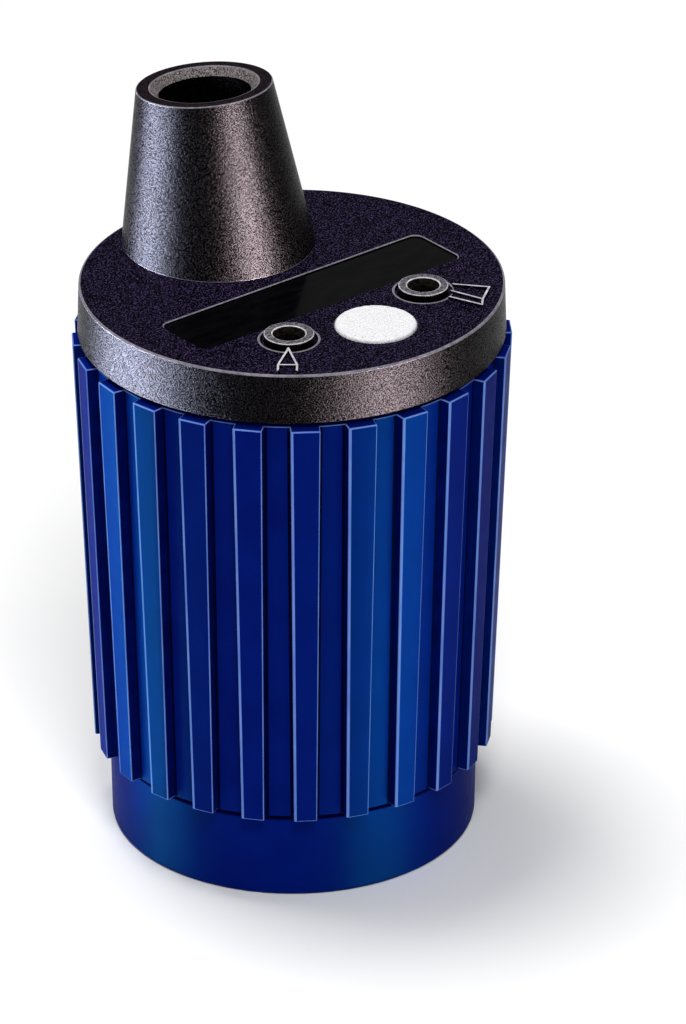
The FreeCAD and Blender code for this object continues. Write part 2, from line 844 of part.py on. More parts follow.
def cutter_pinion():
    """The pinion under the cutter, with a space wherever the idler has a tooth."""
    idler_step = FULL_TURN / value("idler_teeth")
    pinion_step = FULL_TURN / value("pinion_teeth")
    lag = (FULL_TURN / 2) % idler_step * pinion_step / idler_step
    phase = TOWARDS_RING + lag + pinion_step / 2
    toothed = outer_gear("pinion_teeth_shape", "pinion_teeth", phase, "cutter_y")
    hub = rod("pinion_hub", "hub_radius", "gear_bottom", "cutter_bottom", y="cutter_y")
    bore = rod("pinion_bore", "axle_radius + seat_gap", "gear_bottom", "cutter_bottom", y="cutter_y")
    return cut("cutter_pinion", fuse("pinion_solid", toothed, hub), bore)


def idler_bush():
    """The bush pressed into the idler, with a flange that stands on the bridge."""
    bush_body = turned(
        "idler_bush",
        ("idler_bush_bore", "idler_bush_bottom"),
        ("idler_bush_radius + flange_width", "idler_bush_bottom"),
        ("idler_bush_radius + flange_width", "gear_bottom"),
        ("idler_bush_radius", "gear_bottom"),
        ("idler_bush_radius", "idler_bush_top"),
        ("idler_bush_bore", "idler_bush_top"),
    )
    return place(bush_body, y="idler_y")


def build():
    """Makes every sub-part and returns the objects whose shapes are written."""
    thrust_washer = ring("thrust_washer", "bush_bore", "flange_radius", "cutter_top", "washer_top")
    axle_levels = ("axle_bottom", "axle_top", "axle_clip_bottom")
    pin_levels = ("bridge_bottom", "idler_clip_bottom + pin_head", "idler_clip_bottom")
    return [
        dust_cup(),
        ribbed_sleeve(),
        gear_ring(),
        head_cap(),
        guide_cone(),
        lead_guide(),
        lid_rounded_block("badge_plate", "0", "lid_top - badge_sink", "lid_top - badge_sink + badge_thick"),
        cleaning_pad(),
        place(gauge("sharp_gauge", "sharp_depth"), "-gauge_across", "-gauge_reach"),
        place(gauge("blunt_gauge", "blunt_depth"), "gauge_across", "-gauge_reach"),
        gear_frame(),
        screws("frame_screws", FRAME_SCREW_PLACES, "frame_bottom", "frame_plate"),
        lower_bridge(),
        screws("bridge_screws", [(x, "cutter_y") for x in PILLAR_PLACES], "bridge_bottom", "bridge_plate"),
        bush("upper_bush", "frame_bottom", "frame_top", "frame_bottom - flange_thick", "frame_bottom"),
        bush("lower_bush", "bridge_bottom", "bridge_top", "bridge_top", "gear_bottom - end_play"),
        cutter(),
        grooved_shaft("cutter_axle", "axle_radius", "cutter_y", *axle_levels),
        clip("axle_clip", "axle_radius", "axle_clip_bottom", "cutter_y"),
        place(thrust_washer, y="cutter_y"),
        cutter_pinion(),
        idler_gear(),
        idler_bush(),
        grooved_shaft("idler_pin", "pin_radius", "idler_y", *pin_levels),
        clip("idler_clip", "pin_radius", "idler_clip_bottom", "idler_y"),
    ]


def check(nodes):
    """Stops if any object failed or any sub-part's shape is empty or broken."""
    for item in doc.Objects:
        if {"Invalid", "Error"} & set(item.State):
            raise RuntimeError(f"{item.Label} failed: {item.State}")
    for node in nodes:
        if node.Shape.isNull() or not node.Shape.isValid() or not node.Shape.Solids:
            raise RuntimeError(f"{node.Label} has no valid shape")


def write(nodes):
    """Writes each sub-part to a STEP file under its own name."""
    os.makedirs("parts", exist_ok=True)
    for node in nodes:
        node.Shape.exportStep(f"parts/{node.Label}.step")
        box = node.Shape.optimalBoundingBox()
        print(f"{node.Label}: {len(node.Shape.Solids)} solid(s), {node.Shape.Volume:.2f} mm3,", end=" ")
        print(f"z {box.ZMin:.2f} to {box.ZMax:.2f}")


# Direction from the idler to the ring teeth that it meets, in degrees
TOWARDS_RING = -90
PILLAR_PLACES = ("-pillar_x", "pillar_x")
FRAME_SCREW_PLACES = (("-boss_x", "-boss_back"), ("boss_x", "-boss_back"), ("0", "-boss_front"))

NODES = build()
doc.recompute()
check(NODES)
write(NODES)
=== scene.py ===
"""Rotary lead pointer: a ribbed blue tub under a black turning head, dressed over the CAD frame.

Sizes in the named values are millimetres in the CAD frame; Blender works in metres."""

import json
import math
from itertools import pairwise

import bmesh
import bpy
from mathutils import Matrix, Vector

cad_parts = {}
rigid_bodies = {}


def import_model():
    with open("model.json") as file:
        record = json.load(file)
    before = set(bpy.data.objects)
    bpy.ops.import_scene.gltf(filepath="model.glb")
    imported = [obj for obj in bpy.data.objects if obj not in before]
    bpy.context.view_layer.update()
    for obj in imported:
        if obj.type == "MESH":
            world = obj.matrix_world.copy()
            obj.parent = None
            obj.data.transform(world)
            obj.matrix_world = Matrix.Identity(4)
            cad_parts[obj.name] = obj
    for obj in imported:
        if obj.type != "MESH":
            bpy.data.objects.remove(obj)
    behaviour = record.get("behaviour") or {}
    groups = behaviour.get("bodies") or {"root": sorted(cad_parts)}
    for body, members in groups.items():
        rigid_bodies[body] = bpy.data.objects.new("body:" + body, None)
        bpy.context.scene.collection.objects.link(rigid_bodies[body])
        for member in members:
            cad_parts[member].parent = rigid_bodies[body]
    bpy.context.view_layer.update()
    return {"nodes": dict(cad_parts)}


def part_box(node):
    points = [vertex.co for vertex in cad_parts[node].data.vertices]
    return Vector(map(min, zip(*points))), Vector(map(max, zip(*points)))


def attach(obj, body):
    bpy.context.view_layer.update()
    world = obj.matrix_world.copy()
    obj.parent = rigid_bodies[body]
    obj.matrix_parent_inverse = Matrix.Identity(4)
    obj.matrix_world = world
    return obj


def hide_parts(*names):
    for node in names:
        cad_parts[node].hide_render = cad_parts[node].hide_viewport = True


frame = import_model()

MM = 0.001
ROUND = 192                 # steps round a turned piece
SMALL_ROUND = 96            # steps round a gauge, a seat or the pad
BOSS_STEPS = 48             # steps round a screw boss
MERGE = 0.001 * MM          # points this near to each other are one point
NEAR = 0.02 * MM            # how far a point may be from the place it is looked for
BESIDE = 0.15 * MM          # the same for what lies beside a place, such as a rounded edge
LEVEL = 0.99                # a level face has a normal that is at least this upright
UPRIGHT = 0.2               # an upright face has a normal that is less upright than this
SIDEWAYS = 0.5              # the side of a rib faces away from the axis by less than this
SHARP_ANGLE = math.radians(40)      # the faces at a sharp edge turn by more than this
SMOOTH_ANGLE = math.radians(35)     # faces that turn by less than this are shaded as one

# Dust cup
BASE_HEIGHT = 9.28
BASE_FOOT_RADIUS = 18.18
BASE_TOP_RADIUS = 18.32
GAP_HEIGHT = 0.65           # the dark joint below the sleeve's foot
GAP_BOTTOM = BASE_HEIGHT - GAP_HEIGHT
GAP_RADIUS = 17.6
FOOT_RADIUS = 14.78
FOOT_RECESS = 0.6
SPIGOT_RADIUS = 16.9
SPIGOT_TOP = 27.0
CUP_RADIUS = 15.4
CUP_FLOOR = 2.0
CUP_FLOOR_ROUND = 2.0       # radii of the rounded edges
CUP_MOUTH_ROUND = 0.25
SPIGOT_ROUND = 0.5
BASE_TOP_ROUND = 0.15
FOOT_ROUND = 0.4

# Ribbed sleeve
SLEEVE_TOP = 52.8
ROOT_RADIUS = 18.82         # between the ribs, at the sleeve's foot
ROOT_TOP_RADIUS = 20.30
SPREAD = ROOT_TOP_RADIUS / ROOT_RADIUS      # the top outline against the foot's
RIB_COUNT = 24
RIB_WIDTH = 2.25            # at the sleeve's foot
RIB_TOP_WIDTH = 2.85
RIB_HEIGHT = 1.03
RIB_PHASE = 9.5             # degrees from +X to the middle of the first rib
GROOVE_STEPS = 3            # from a rib to the middle of a groove, the first one as wide as a corner
# the groove's corner beside a rib, painted dark as shade
CORNER_WIDTH = 0.28
HIGHLIGHT_STRIP_WIDTH = 0.26         # the strip along the left of a rib's crest, painted paler as a highlight
RIB_STEPS = 4               # across a crest, the last one as wide as the painted highlight strip
SECTOR_STEPS = 2 * GROOVE_STEPS + RIB_STEPS + 2     # round a rib and half a groove on each side
NARROW = 0.364              # painted-shade corners and painted highlight strips are narrower than this, other strips wider
RIB_ROUND = 0.12            # the rounded edges down the left of a rib and across its top
SLEEVE_ROUND = 0.09         # the sleeve's other outer edges
SOCKET_RADIUS = 17.0
LEDGE_RADIUS = 16.3
LEDGE_BOTTOM = 28.0
LEDGE_TOP = 30.0
LUG_COUNT = 3
LUG_WIDTH = 3.04
LUG_DEPTH = 1.42
NOTCH_SPARE = 0.3           # how much longer than the ledge is wide its notches are cut
BORE_RADIUS = 17.4
NECK_RADIUS = 18.45
NECK_TOP = 56.4
BEAD_RADIUS = 19.0
BEAD_BOTTOM = 54.3
BEAD_TOP = 55.1

# Head
LID_BOTTOM = 53.35
LID_TOP = 58.46
LID_UNDERSIDE = 56.4
LID_FOOT_RADIUS = 20.87
LID_RADIUS = 20.7
LIP_RADIUS = 18.7
GROOVE_RADIUS = 19.25
GROOVE_BOTTOM = 54.05
GROOVE_TOP = 55.35
BOSS_RADIUS = 2.4
BOSS_BOTTOM = 49.5
PILOT_RADIUS = 1.03
PILOT_TOP = 54.6
BOSS_ROOT = 0.5             # how far a boss reaches into the lid
LID_ROUND = 0.2             # radius of the lid's rounded edges
CUTTER_TOP = 2.0            # how far the cutters of seats stand above the lid
CUTTER_BOTTOM = 1.0         # how far those that go through reach below its underside
BOSSES = [(12.2, -1.5), (-12.2, -1.5), (0, -4.2)]

# What sits in the lid
PAD_Y = -12.8
PAD_RADIUS = 3.95
PAD_BOTTOM = 57.0
PAD_TOP = 58.75
PAD_SEAT = 3.98
PAD_ROUND = 0.3
PAD_RINGS = 7               # rings that dome the pad, each a little higher than the one outside it
PAD_RING_WIDTH = 0.5
PAD_RING_RISE = 0.006
FELT_LUMP = 0.5
FELT_RELIEF = 0.06
BADGE_Y = -3.125
BADGE_SIZE = (32.0, 6.85)
BADGE_CORNER = 1.0
BADGE_BOTTOM = 57.96
BADGE_TOP = 58.26
BADGE_GAP = 0.03
BADGE_ROUND = 0.1
GAUGE_X = 8.35
GAUGE_Y = -9.9
COLLAR_RADIUS = 2.42
COLLAR_HEIGHT = 0.65
COLLAR_ROUND = 0.08
GAUGE_MOUTH = 1.62
GAUGE_BORE = 1.15
GAUGE_TUBE = 2.0
GAUGE_FLOOR = 0.8
GAUGE_RECESS_RADIUS = 2.95
GAUGE_RECESS = 0.3
BEAD_RING_RADIUS = 2.91     # the low bead along the edge of a gauge's recess
BEAD_RING_WIDTH = 0.22
BEAD_RING_HEIGHT = 0.08
BEAD_RING_ROOT = 0.1        # how far the bead reaches below the recess's floor
SEAT_RIM = 0.05             # half the height of the small flare round a seat
BADGE_RIM = 0.09

# Leaning holder guide, with lengths along its own axis from the lead's point
GUIDE_TILT = math.radians(6.55)
GUIDE_FLARE = math.radians(9.77)
LEAD_POINT = Vector((0, 9.0, 35.6))
GUIDE_LENGTH = 39.2
MOUTH_RADIUS = 6.7
MOUTH_EDGE = 5.35
MOUTH_BEVEL = 0.8
HOLDER_RADIUS = 4.55
SEAT_TOP = 25.2
SEAT_BOTTOM = 13.4
SEAT_RADIUS = 1.9
TUBE_SEAT_RADIUS = 2.45
NOSE_BOTTOM = 11.6
NOSE_RADIUS = 3.4
NOSE_TOP = 14.7
NECK_FOOT = 19.7
GUIDE_NECK_RADIUS = 5.6
GUIDE_SEAT_GAP = 0.05
GUIDE_SEAT_LENGTH = 12.0
GUIDE_ROUND = 0.1
CONE_SPARE = 3.0            # length of cone that is made below the lid and cut off again
LEAN = Vector((0, math.sin(GUIDE_TILT), math.cos(GUIDE_TILT)))
GUIDE_FOOT = (LID_TOP - LEAD_POINT.z) / LEAN.z

# Signs beside the gauges: points along the gauge's radius and across it
SIGN_LINE = 0.2
SIGN_HEIGHT = 0.35
SIGN_PANEL = 0.06
SIGN_INSIDE = 0.5           # faces that lie less than this out from the middle belong to the inside
SHARP_RAISED = (15.0, 20.25)        # where the lines are raised; past it the drawing is left open
SHARP_SIGN = [
    [(15.2, 0), (19.05, 1.0), (19.05, -1.0)],
    [(19.05, -1.0), (19.05, 1.0), (20.4, 1.0), (20.4, -1.0)],
]
BLUNT_RAISED = (15.75, 21.0)
BLUNT_SIGN = [
    [(15.54, 1.4), (15.53, -0.13), (19.12, -1.41), (19.3, 1.42)],
    [(15.53, -0.13), (15.67, -1.55), (19.28, -2.78), (19.12, -1.41)],
]


def at(x, y, z):
    """A point given in millimetres, in metres."""
    return Vector((x, y, z)) * MM


def along_guide(length):
    """The point of the guide's axis at a length from the lead's point."""
    return (LEAD_POINT + LEAN * length) * MM


def cone_radius(length):
    """The cone's radius at a length along the guide's axis."""
    return MOUTH_RADIUS + (GUIDE_LENGTH - length) * math.tan(GUIDE_FLARE)


# Modelling by hand

def begin(name, *materials):
    """A new empty piece with its materials, open in edit mode."""
    bpy.ops.object.select_all(action="DESELECT")
    bpy.ops.mesh.primitive_plane_add(size=MM)
    piece = bpy.context.object
    piece.name = name
    piece.data.name = name
    for material in materials:
        piece.data.materials.append(material)
    bpy.ops.object.mode_set(mode="EDIT")
    bpy.ops.mesh.select_mode(type="VERT")
    bpy.ops.mesh.delete(type="VERT")
    return piece


def finish(piece):
    """Closes the edit and smooths the piece."""
    bpy.ops.object.mode_set(mode="OBJECT")
    smooth(piece)
    return piece


def smooth(piece):
    """Smooths all but sharp edges, and keeps large faces flat beside their rounded edges."""
    bpy.ops.object.shade_smooth_by_angle(angle=SMOOTH_ANGLE)
    step = piece.modifiers.new("flat_faces", "WEIGHTED_NORMAL")
    step.keep_sharp = True
    bpy.ops.object.modifier_apply(modifier=step.name)


def draw(points):
    """Draws a chain of edges through the points and leaves it selected."""
    bpy.ops.mesh.select_mode(type="VERT")
    bpy.ops.mesh.select_all(action="DESELECT")
    bpy.ops.mesh.primitive_plane_add(size=MM, location=points[0])
    bpy.ops.mesh.merge(type="CENTER")
    for start, end in pairwise(points):
        bpy.ops.mesh.extrude_vertices_move(TRANSFORM_OT_translate={"value": end - start})
    bpy.ops.mesh.select_linked()


def spin(steps, copies=False):
    """Turns what is selected once round the tub's axis, as a surface or as copies."""
    bpy.ops.mesh.spin(steps=steps, dupli=copies, angle=math.tau, center=(0, 0, 0), axis=(0, 0, 1))


def merge_points():
    """Selects everything and makes one point of points in one place."""
    bpy.ops.mesh.select_all(action="SELECT")
    bpy.ops.mesh.remove_doubles(threshold=MERGE)


def close_up():
    """Merges doubles, fills open ends and turns all faces outwards."""
    merge_points()
    bpy.ops.mesh.fill_holes(sides=0)
    bpy.ops.mesh.normals_make_consistent(inside=False)


def lathe(name, profile, *materials, steps=ROUND):
    """A turned solid. The profile lists radius and height, and its open ends are filled flat."""
    piece = begin(name, *materials)
    draw([at(radius, 0, height) for radius, height in profile])
    spin(steps)
    close_up()
    return piece


def pick(piece, kind, test):
    """Selects the edges or faces that pass a test."""
    bpy.ops.mesh.select_mode(type=kind)
    bpy.ops.mesh.select_all(action="DESELECT")
    mesh = bmesh.from_edit_mesh(piece.data)
    for item in mesh.edges if kind == "EDGE" else mesh.faces:
        if test(item):
            item.select_set(True)
    mesh.select_flush_mode()
    bmesh.update_edit_mesh(piece.data)


def circle(radius, height):
    """A test for the edges of a level circle about the tub's axis."""
    def on_circle(point):
        return (abs(math.hypot(point.x, point.y) - radius * MM) < NEAR
                and abs(point.z - height * MM) < NEAR)
    return lambda edge: all(on_circle(vertex.co) for vertex in edge.verts)


def at_height(edge, height):
    """Whether an edge lies level at a height."""
    return all(abs(vertex.co.z - height * MM) < NEAR for vertex in edge.verts)


def rise(edge):
    """How much higher one end of an edge lies than the other."""
    return abs(edge.verts[0].co.z - edge.verts[1].co.z)


def sharp(edge):
    """Whether the faces at an edge turn sharply."""
    return edge.calc_face_angle(0) > SHARP_ANGLE


def round_edges(piece, test, radius, segments, material=-1):
    """Rounds the edges that pass a test; the new faces may take another of the piece's materials."""
    pick(piece, "EDGE", test)
    bpy.ops.mesh.bevel(offset=radius * MM, segments=segments, affect="EDGES", material=material)


def paint(piece, test, material):
    """Gives the faces that pass a test another of the piece's materials."""
    pick(piece, "FACE", test)
    piece.active_material_index = material
    bpy.ops.object.material_slot_assign()


def extrude(offset):
    """Extrudes the selected faces by an offset."""
    bpy.ops.mesh.extrude_region_move(TRANSFORM_OT_translate={"value": offset})


def extrude_along_guide(steps):
    """Extrudes the selected face along the guide's axis, in steps that list length and radius."""
    for (length, radius), (next_length, next_radius) in pairwise(steps):
        end = along_guide(next_length)
        scale = next_radius / radius
        extrude(end - along_guide(length))
        bpy.ops.transform.resize(value=(scale, scale, scale), center_override=end)


def move_all(offset):
    """Moves all of the piece that is open in edit mode."""
    bpy.ops.mesh.select_all(action="SELECT")
    bpy.ops.transform.translate(value=offset)


def combine(piece, tool, operation):
    """Joins a tool's solid to a piece or cuts it away, and removes the tool."""
    bpy.ops.object.select_all(action="DESELECT")
    bpy.context.view_layer.objects.active = piece
    piece.select_set(True)
    step = piece.modifiers.new("combine", "BOOLEAN")
    step.operation = operation
    step.solver = "EXACT"
    step.object = tool
    bpy.ops.object.modifier_apply(modifier=step.name)
    bpy.data.objects.remove(tool)


# Materials

NOISE_LOW, NOISE_HIGH = 0.3, 0.7            # nearly all of a noise lies between these
MIX_A, MIX_B, MIX_RESULT = 6, 7, 2          # the colour sockets of a Mix node


def srgb(code):
    """A hex colour as linear red, green, blue and alpha."""
    parts = [int(code[i:i + 2], 16) / 255 for i in (1, 3, 5)]
    linear = [part / 12.92 if part <= 0.04045 else ((part + 0.055) / 1.055) ** 2.4 for part in parts]
    return (*linear, 1.0)


def node(material, kind, inputs=None, **settings):
    """Adds a node with its settings; an input is a value or another node's output."""
    tree = material.node_tree
    added = tree.nodes.new("ShaderNode" + kind)
    for name, value in settings.items():
        setattr(added, name, value)
    for name, value in (inputs or {}).items():
        if isinstance(value, bpy.types.NodeSocket):
            tree.links.new(value, added.inputs[name])
        else:
            added.inputs[name].default_value = value
    return added


def new_material(name, **shader_values):
    """A material with its shader's constants set on the shader's own sockets."""
    material = bpy.data.materials.new(name)
    material.use_nodes = True
    shader = material.node_tree.nodes["Principled BSDF"]
    for socket, value in shader_values.items():
        shader.inputs[socket.replace("_", " ")].default_value = value
    return material


def feed(material, socket, output):
    """Links an output to one of the material's shader sockets."""
    shader = material.node_tree.nodes["Principled BSDF"]
    material.node_tree.links.new(output, shader.inputs[socket])


def grain(material, size, detail=3.0, stretch=(1, 1, 1)):
    """A noise whose lumps are about a size in millimetres across, on Object coordinates."""
    position = node(material, "TexCoord").outputs["Object"]
    stretched = node(material, "Mapping", {"Vector": position, "Scale": stretch}).outputs["Vector"]
    noise = node(material, "TexNoise", {"Vector": stretched, "Scale": 1 / (size * MM), "Detail": detail})
    return noise.outputs["Fac"]


def two_tones(material, factor, dark, light, low=0.35, high=0.65):
    """Two colours spread over a pattern."""
    ramp = node(material, "ValToRGB", {"Fac": factor})
    for stop, position, code in zip(ramp.color_ramp.elements, (low, high), (dark, light)):
        stop.position = position
        stop.color = srgb(code)
    return ramp.outputs["Color"]


def spread_over(material, socket, factor, low, high):
    """A shader value that goes from low to high over a pattern."""
    spread = node(material, "MapRange", {"Value": factor, "From Min": NOISE_LOW, "From Max": NOISE_HIGH,
                                         "To Min": low, "To Max": high})
    feed(material, socket, spread.outputs["Result"])


def bumps(material, factor, height, strength=1.0):
    """Relief of a height in millimetres."""
    bump = node(material, "Bump", {"Height": factor, "Distance": height * MM, "Strength": strength})
    feed(material, "Normal", bump.outputs["Normal"])


def blue_abs():
    """Moulded ABS, satin: deep even blue with a soft gloss and a faint orange-peel surface."""
    material = new_material("blue_abs_moulded", Specular_IOR_Level=0.011)
    peel = grain(material, 1.6)
    feed(material, "Base Color", two_tones(material, grain(material, 5), "#001264", "#00166c"))
    spread_over(material, "Roughness", peel, 0.40, 0.48)
    bumps(material, peel, 0.02, 0.3)
    return material


def blue_abs_edge_highlight():
    """The same ABS on rounded edges, painted paler as highlights, so that edges draw as thin lines."""
    material = new_material("blue_abs_painted_edge_highlight", Specular_IOR_Level=0.01)
    wear = grain(material, 6)
    feed(material, "Base Color", two_tones(material, wear, "#5a79c9", "#6c8bd6"))
    spread_over(material, "Roughness", wear, 0.25, 0.35)
    return material


def blue_abs_painted_shade(name, dark, light):
    """The same ABS painted as shade beside the ribs: dull and nearly navy."""
    material = new_material(name, Specular_IOR_Level=0.004)
    haze = grain(material, 2.0)
    feed(material, "Base Color", two_tones(material, haze, dark, light))
    spread_over(material, "Roughness", haze, 0.55, 0.65)
    return material


def black_abs(name, gloss, relief):
    """Moulded ABS on upright walls: near black with a satin gloss, broken into pale sparks by a fine grain,
    whose paler flecks in the colour are painted glints.

    The real grain is about 0.05 mm; it is drawn at 0.115 mm so that it shows."""
    material = new_material(name)
    pits = grain(material, 0.115, 0.0)
    feed(material, "Base Color", two_tones(material, pits, "#010001", "#0f0c10", 0.54, 0.80))
    spread_over(material, "Specular IOR Level", pits, 0.0, gloss)
    spread_over(material, "Roughness", pits, 0.2, 0.4)
    bumps(material, pits, relief, 1.0)
    return material


def black_abs_top():
    """The same ABS with a coarser spark-eroded grain on the lid's top: dull and speckled, violet-black with
    its violet tint painted as the reflection of a bluish light above, and its paler flecks painted as
    glints.

    The real grain is about 0.05 mm; it is drawn at 0.15 mm so that it shows."""
    material = new_material("black_abs_spark_eroded", Specular_IOR_Level=0.018)
    pits = grain(material, 0.15, 0.0)
    feed(material, "Base Color", two_tones(material, pits, "#010003", "#473b62", 0.53, 0.82))
    spread_over(material, "Roughness", pits, 0.5, 0.65)
    bumps(material, pits, 0.042, 1.0)
    return material


def black_abs_edge_highlight():
    """The same ABS on edges and raised lines, painted grey as highlights, with a smoother gloss."""
    material = new_material("black_abs_painted_edge_highlight", Specular_IOR_Level=0.05)
    wear = grain(material, 0.6)
    feed(material, "Base Color", two_tones(material, wear, "#67646e", "#827f88"))
    spread_over(material, "Roughness", wear, 0.3, 0.42)
    return material


def black_abs_lip():
    """The same ABS on the lip that holders scuff: quite dull, with a fine grey fleck and no gloss."""
    material = new_material("black_abs_scuffed_lip", Specular_IOR_Level=0.0)
    fleck = grain(material, 0.15, 1.0)
    feed(material, "Base Color", two_tones(material, fleck, "#0d0a0c", "#2c2529", 0.4, 0.7))
    spread_over(material, "Roughness", fleck, 0.6, 0.8)
    bumps(material, fleck, 0.03, 0.6)
    return material


def black_abs_bevel_highlight():
    """The same ABS on the bevel inside the mouth, painted pale as the highlight that falls there: dry grey
    with a fine dark fleck.
    """
    material = new_material("black_abs_painted_bevel_highlight", Specular_IOR_Level=0.02)
    fleck = grain(material, 0.15, 1.0)
    feed(material, "Base Color", two_tones(material, fleck, "#2a2628", "#8c8483", 0.38, 0.66))
    spread_over(material, "Roughness", fleck, 0.5, 0.7)
    bumps(material, fleck, 0.04, 0.8)
    return material


def black_gloss():
    """Polished black styrene: a flat dark plate with a clear mirror-like gloss and faint smears."""
    material = new_material("black_styrene_polished", Specular_IOR_Level=0.04)
    smears = grain(material, 3.0, 2.0, (1, 3, 1))
    feed(material, "Base Color", two_tones(material, smears, "#020203", "#060608"))
    spread_over(material, "Roughness", smears, 0.08, 0.2)
    return material


def gauge_grey():
    """Moulded acetal, dark grey: a dry satin surface with small paler rubs from the leads."""
    material = new_material("grey_acetal_moulded", Specular_IOR_Level=0.06)
    rubs = grain(material, 0.3, 1.0)
    feed(material, "Base Color", two_tones(material, rubs, "#3f3d42", "#77757a", 0.4, 0.7))
    spread_over(material, "Roughness", rubs, 0.38, 0.55)
    bumps(material, rubs, 0.05, 0.5)
    return material


def gauge_grey_edge_highlight():
    """The same acetal, painted pale as highlights on the collars' edges and the signs' lines."""
    material = new_material("grey_acetal_painted_edge_highlight", Specular_IOR_Level=0.08)
    rubs = grain(material, 0.5)
    feed(material, "Base Color", two_tones(material, rubs, "#a09ea4", "#cfcdd2"))
    spread_over(material, "Roughness", rubs, 0.3, 0.42)
    return material


def gauge_bore():
    """The same acetal down in the gauges, painted dull and dark as the shade in the bore, with a brown
    haze.
    """
    material = new_material("grey_acetal_painted_bore_shade", Specular_IOR_Level=0.02)
    haze = grain(material, 0.4)
    feed(material, "Base Color", two_tones(material, haze, "#040303", "#1a1513"))
    spread_over(material, "Roughness", haze, 0.5, 0.7)
    return material


def white_felt():
    """Pressed wool felt: matted fibres with a soft sheen and a few grey graphite specks, 0.8 mm apart.

    The fibres are about 0.03 mm; they are drawn at 0.2 mm so that they show."""
    speck_spacing = 0.8
    material = new_material("white_wool_felt", Roughness=0.95, Specular_IOR_Level=0.01, Sheen_Weight=0.3,
                            Sheen_Roughness=0.6)
    fibres = grain(material, 0.2, 5.0)
    cloth = two_tones(material, fibres, "#d2d1d3", "#edecee")
    position = node(material, "TexCoord").outputs["Object"]
    specks = node(material, "TexVoronoi", {"Vector": position, "Scale": 1 / (speck_spacing * MM)})
    marks = two_tones(material, specks.outputs["Distance"], "#8d8c92", "#ffffff", 0.05, 0.12)
    soiled = node(material, "Mix", {"Factor": 1.0, MIX_A: cloth, MIX_B: marks},
                  data_type="RGBA", blend_type="MULTIPLY")
    feed(material, "Base Color", soiled.outputs[MIX_RESULT])
    bumps(material, fibres, 0.12, 0.7)
    return material


def natural_acetal():
    """Natural acetal gears: milky white and waxy, with a soft gloss."""
    material = new_material("natural_acetal", IOR=1.48, Subsurface_Weight=0.1, Subsurface_Scale=1.5 * MM)
    cloud = grain(material, 2.5)
    feed(material, "Base Color", two_tones(material, cloud, "#dcdbd2", "#ecebe4"))
    spread_over(material, "Roughness", cloud, 0.3, 0.42)
    return material


def frame_nylon():
    """Glass-filled nylon: dark grey, dull, with faint pale fibre streaks."""
    material = new_material("dark_glass_filled_nylon", IOR=1.53)
    fibres = grain(material, 0.5, 4.0, (1, 5, 1))
    feed(material, "Base Color", two_tones(material, fibres, "#2c2d30", "#424347"))
    spread_over(material, "Roughness", fibres, 0.5, 0.65)
    bumps(material, fibres, 0.03, 0.4)
    return material


def turned_steel():
    """Turned carbon steel: bright grey with fine level tool lines.

    The lines are about 0.05 mm apart; they are drawn at 0.15 mm so that they show."""
    material = new_material("turned_carbon_steel", Metallic=1.0)
    lines = grain(material, 0.15, 2.0, (0.05, 0.05, 1))
    feed(material, "Base Color", two_tones(material, lines, "#96979b", "#bcbdc0"))
    spread_over(material, "Roughness", lines, 0.22, 0.4)
    return material


def sintered_bronze():
    """Sintered bronze: warm brown metal with small oil-dark pores."""
    material = new_material("sintered_bronze", Metallic=1.0)
    pores = grain(material, 0.25, 3.0)
    feed(material, "Base Color", two_tones(material, pores, "#7a5530", "#b58a55"))
    spread_over(material, "Roughness", pores, 0.35, 0.55)
    bumps(material, pores, 0.03, 0.4)
    return material


def pale_floor():
    """Matte painted board: an even pale grey with no gloss, so that nothing mirrors in it."""
    return new_material("pale_floor", Base_Color=srgb("#f4f4f4"), Roughness=0.9, Specular_IOR_Level=0.0)


# Pieces

# Places in a piece's list of materials
# EDGE holds the material painted paler as highlights along edges and rims
BODY, EDGE = 0, 1
FLANK_SHADE, CORNER_SHADE = 2, 3        # on the sleeve, both painted dark as shade
TOP = 2                     # on the lid
LIP, BEVEL_HIGHLIGHT = 2, 3          # on the guide; the bevel is painted pale as a highlight
RING, RING_EDGE_HIGHLIGHT, BORE = 1, 2, 3     # on a gauge; its edges are painted pale as highlights and its bore dark as shade
GROUND = 1                  # on a sign, also painted on the lines' outer walls as shade


def dust_cup(body, edge):
    """The smooth foot with its dust chamber and spigot."""
    profile = [
        (CUP_RADIUS, CUP_FLOOR), (CUP_RADIUS, SPIGOT_TOP), (SPIGOT_RADIUS, SPIGOT_TOP),
        (SPIGOT_RADIUS, BASE_HEIGHT), (GAP_RADIUS, BASE_HEIGHT), (GAP_RADIUS, GAP_BOTTOM),
        (BASE_TOP_RADIUS, GAP_BOTTOM), (BASE_FOOT_RADIUS, 0), (FOOT_RADIUS, 0), (FOOT_RADIUS, FOOT_RECESS),
    ]
    piece = lathe("dust_cup_shell", profile, body, edge)
    round_edges(piece, circle(CUP_RADIUS, CUP_FLOOR), CUP_FLOOR_ROUND, segments=6)
    # the spigot's and the mouth's rounded edges are painted paler as highlights
    round_edges(piece, circle(SPIGOT_RADIUS, SPIGOT_TOP), SPIGOT_ROUND, segments=3, material=EDGE)
    round_edges(piece, circle(CUP_RADIUS, SPIGOT_TOP), CUP_MOUTH_ROUND, segments=2, material=EDGE)
    round_edges(piece, circle(BASE_TOP_RADIUS, GAP_BOTTOM), BASE_TOP_ROUND, segments=3)
    round_edges(piece, circle(BASE_FOOT_RADIUS, 0), FOOT_ROUND, segments=4)
    return finish(piece)


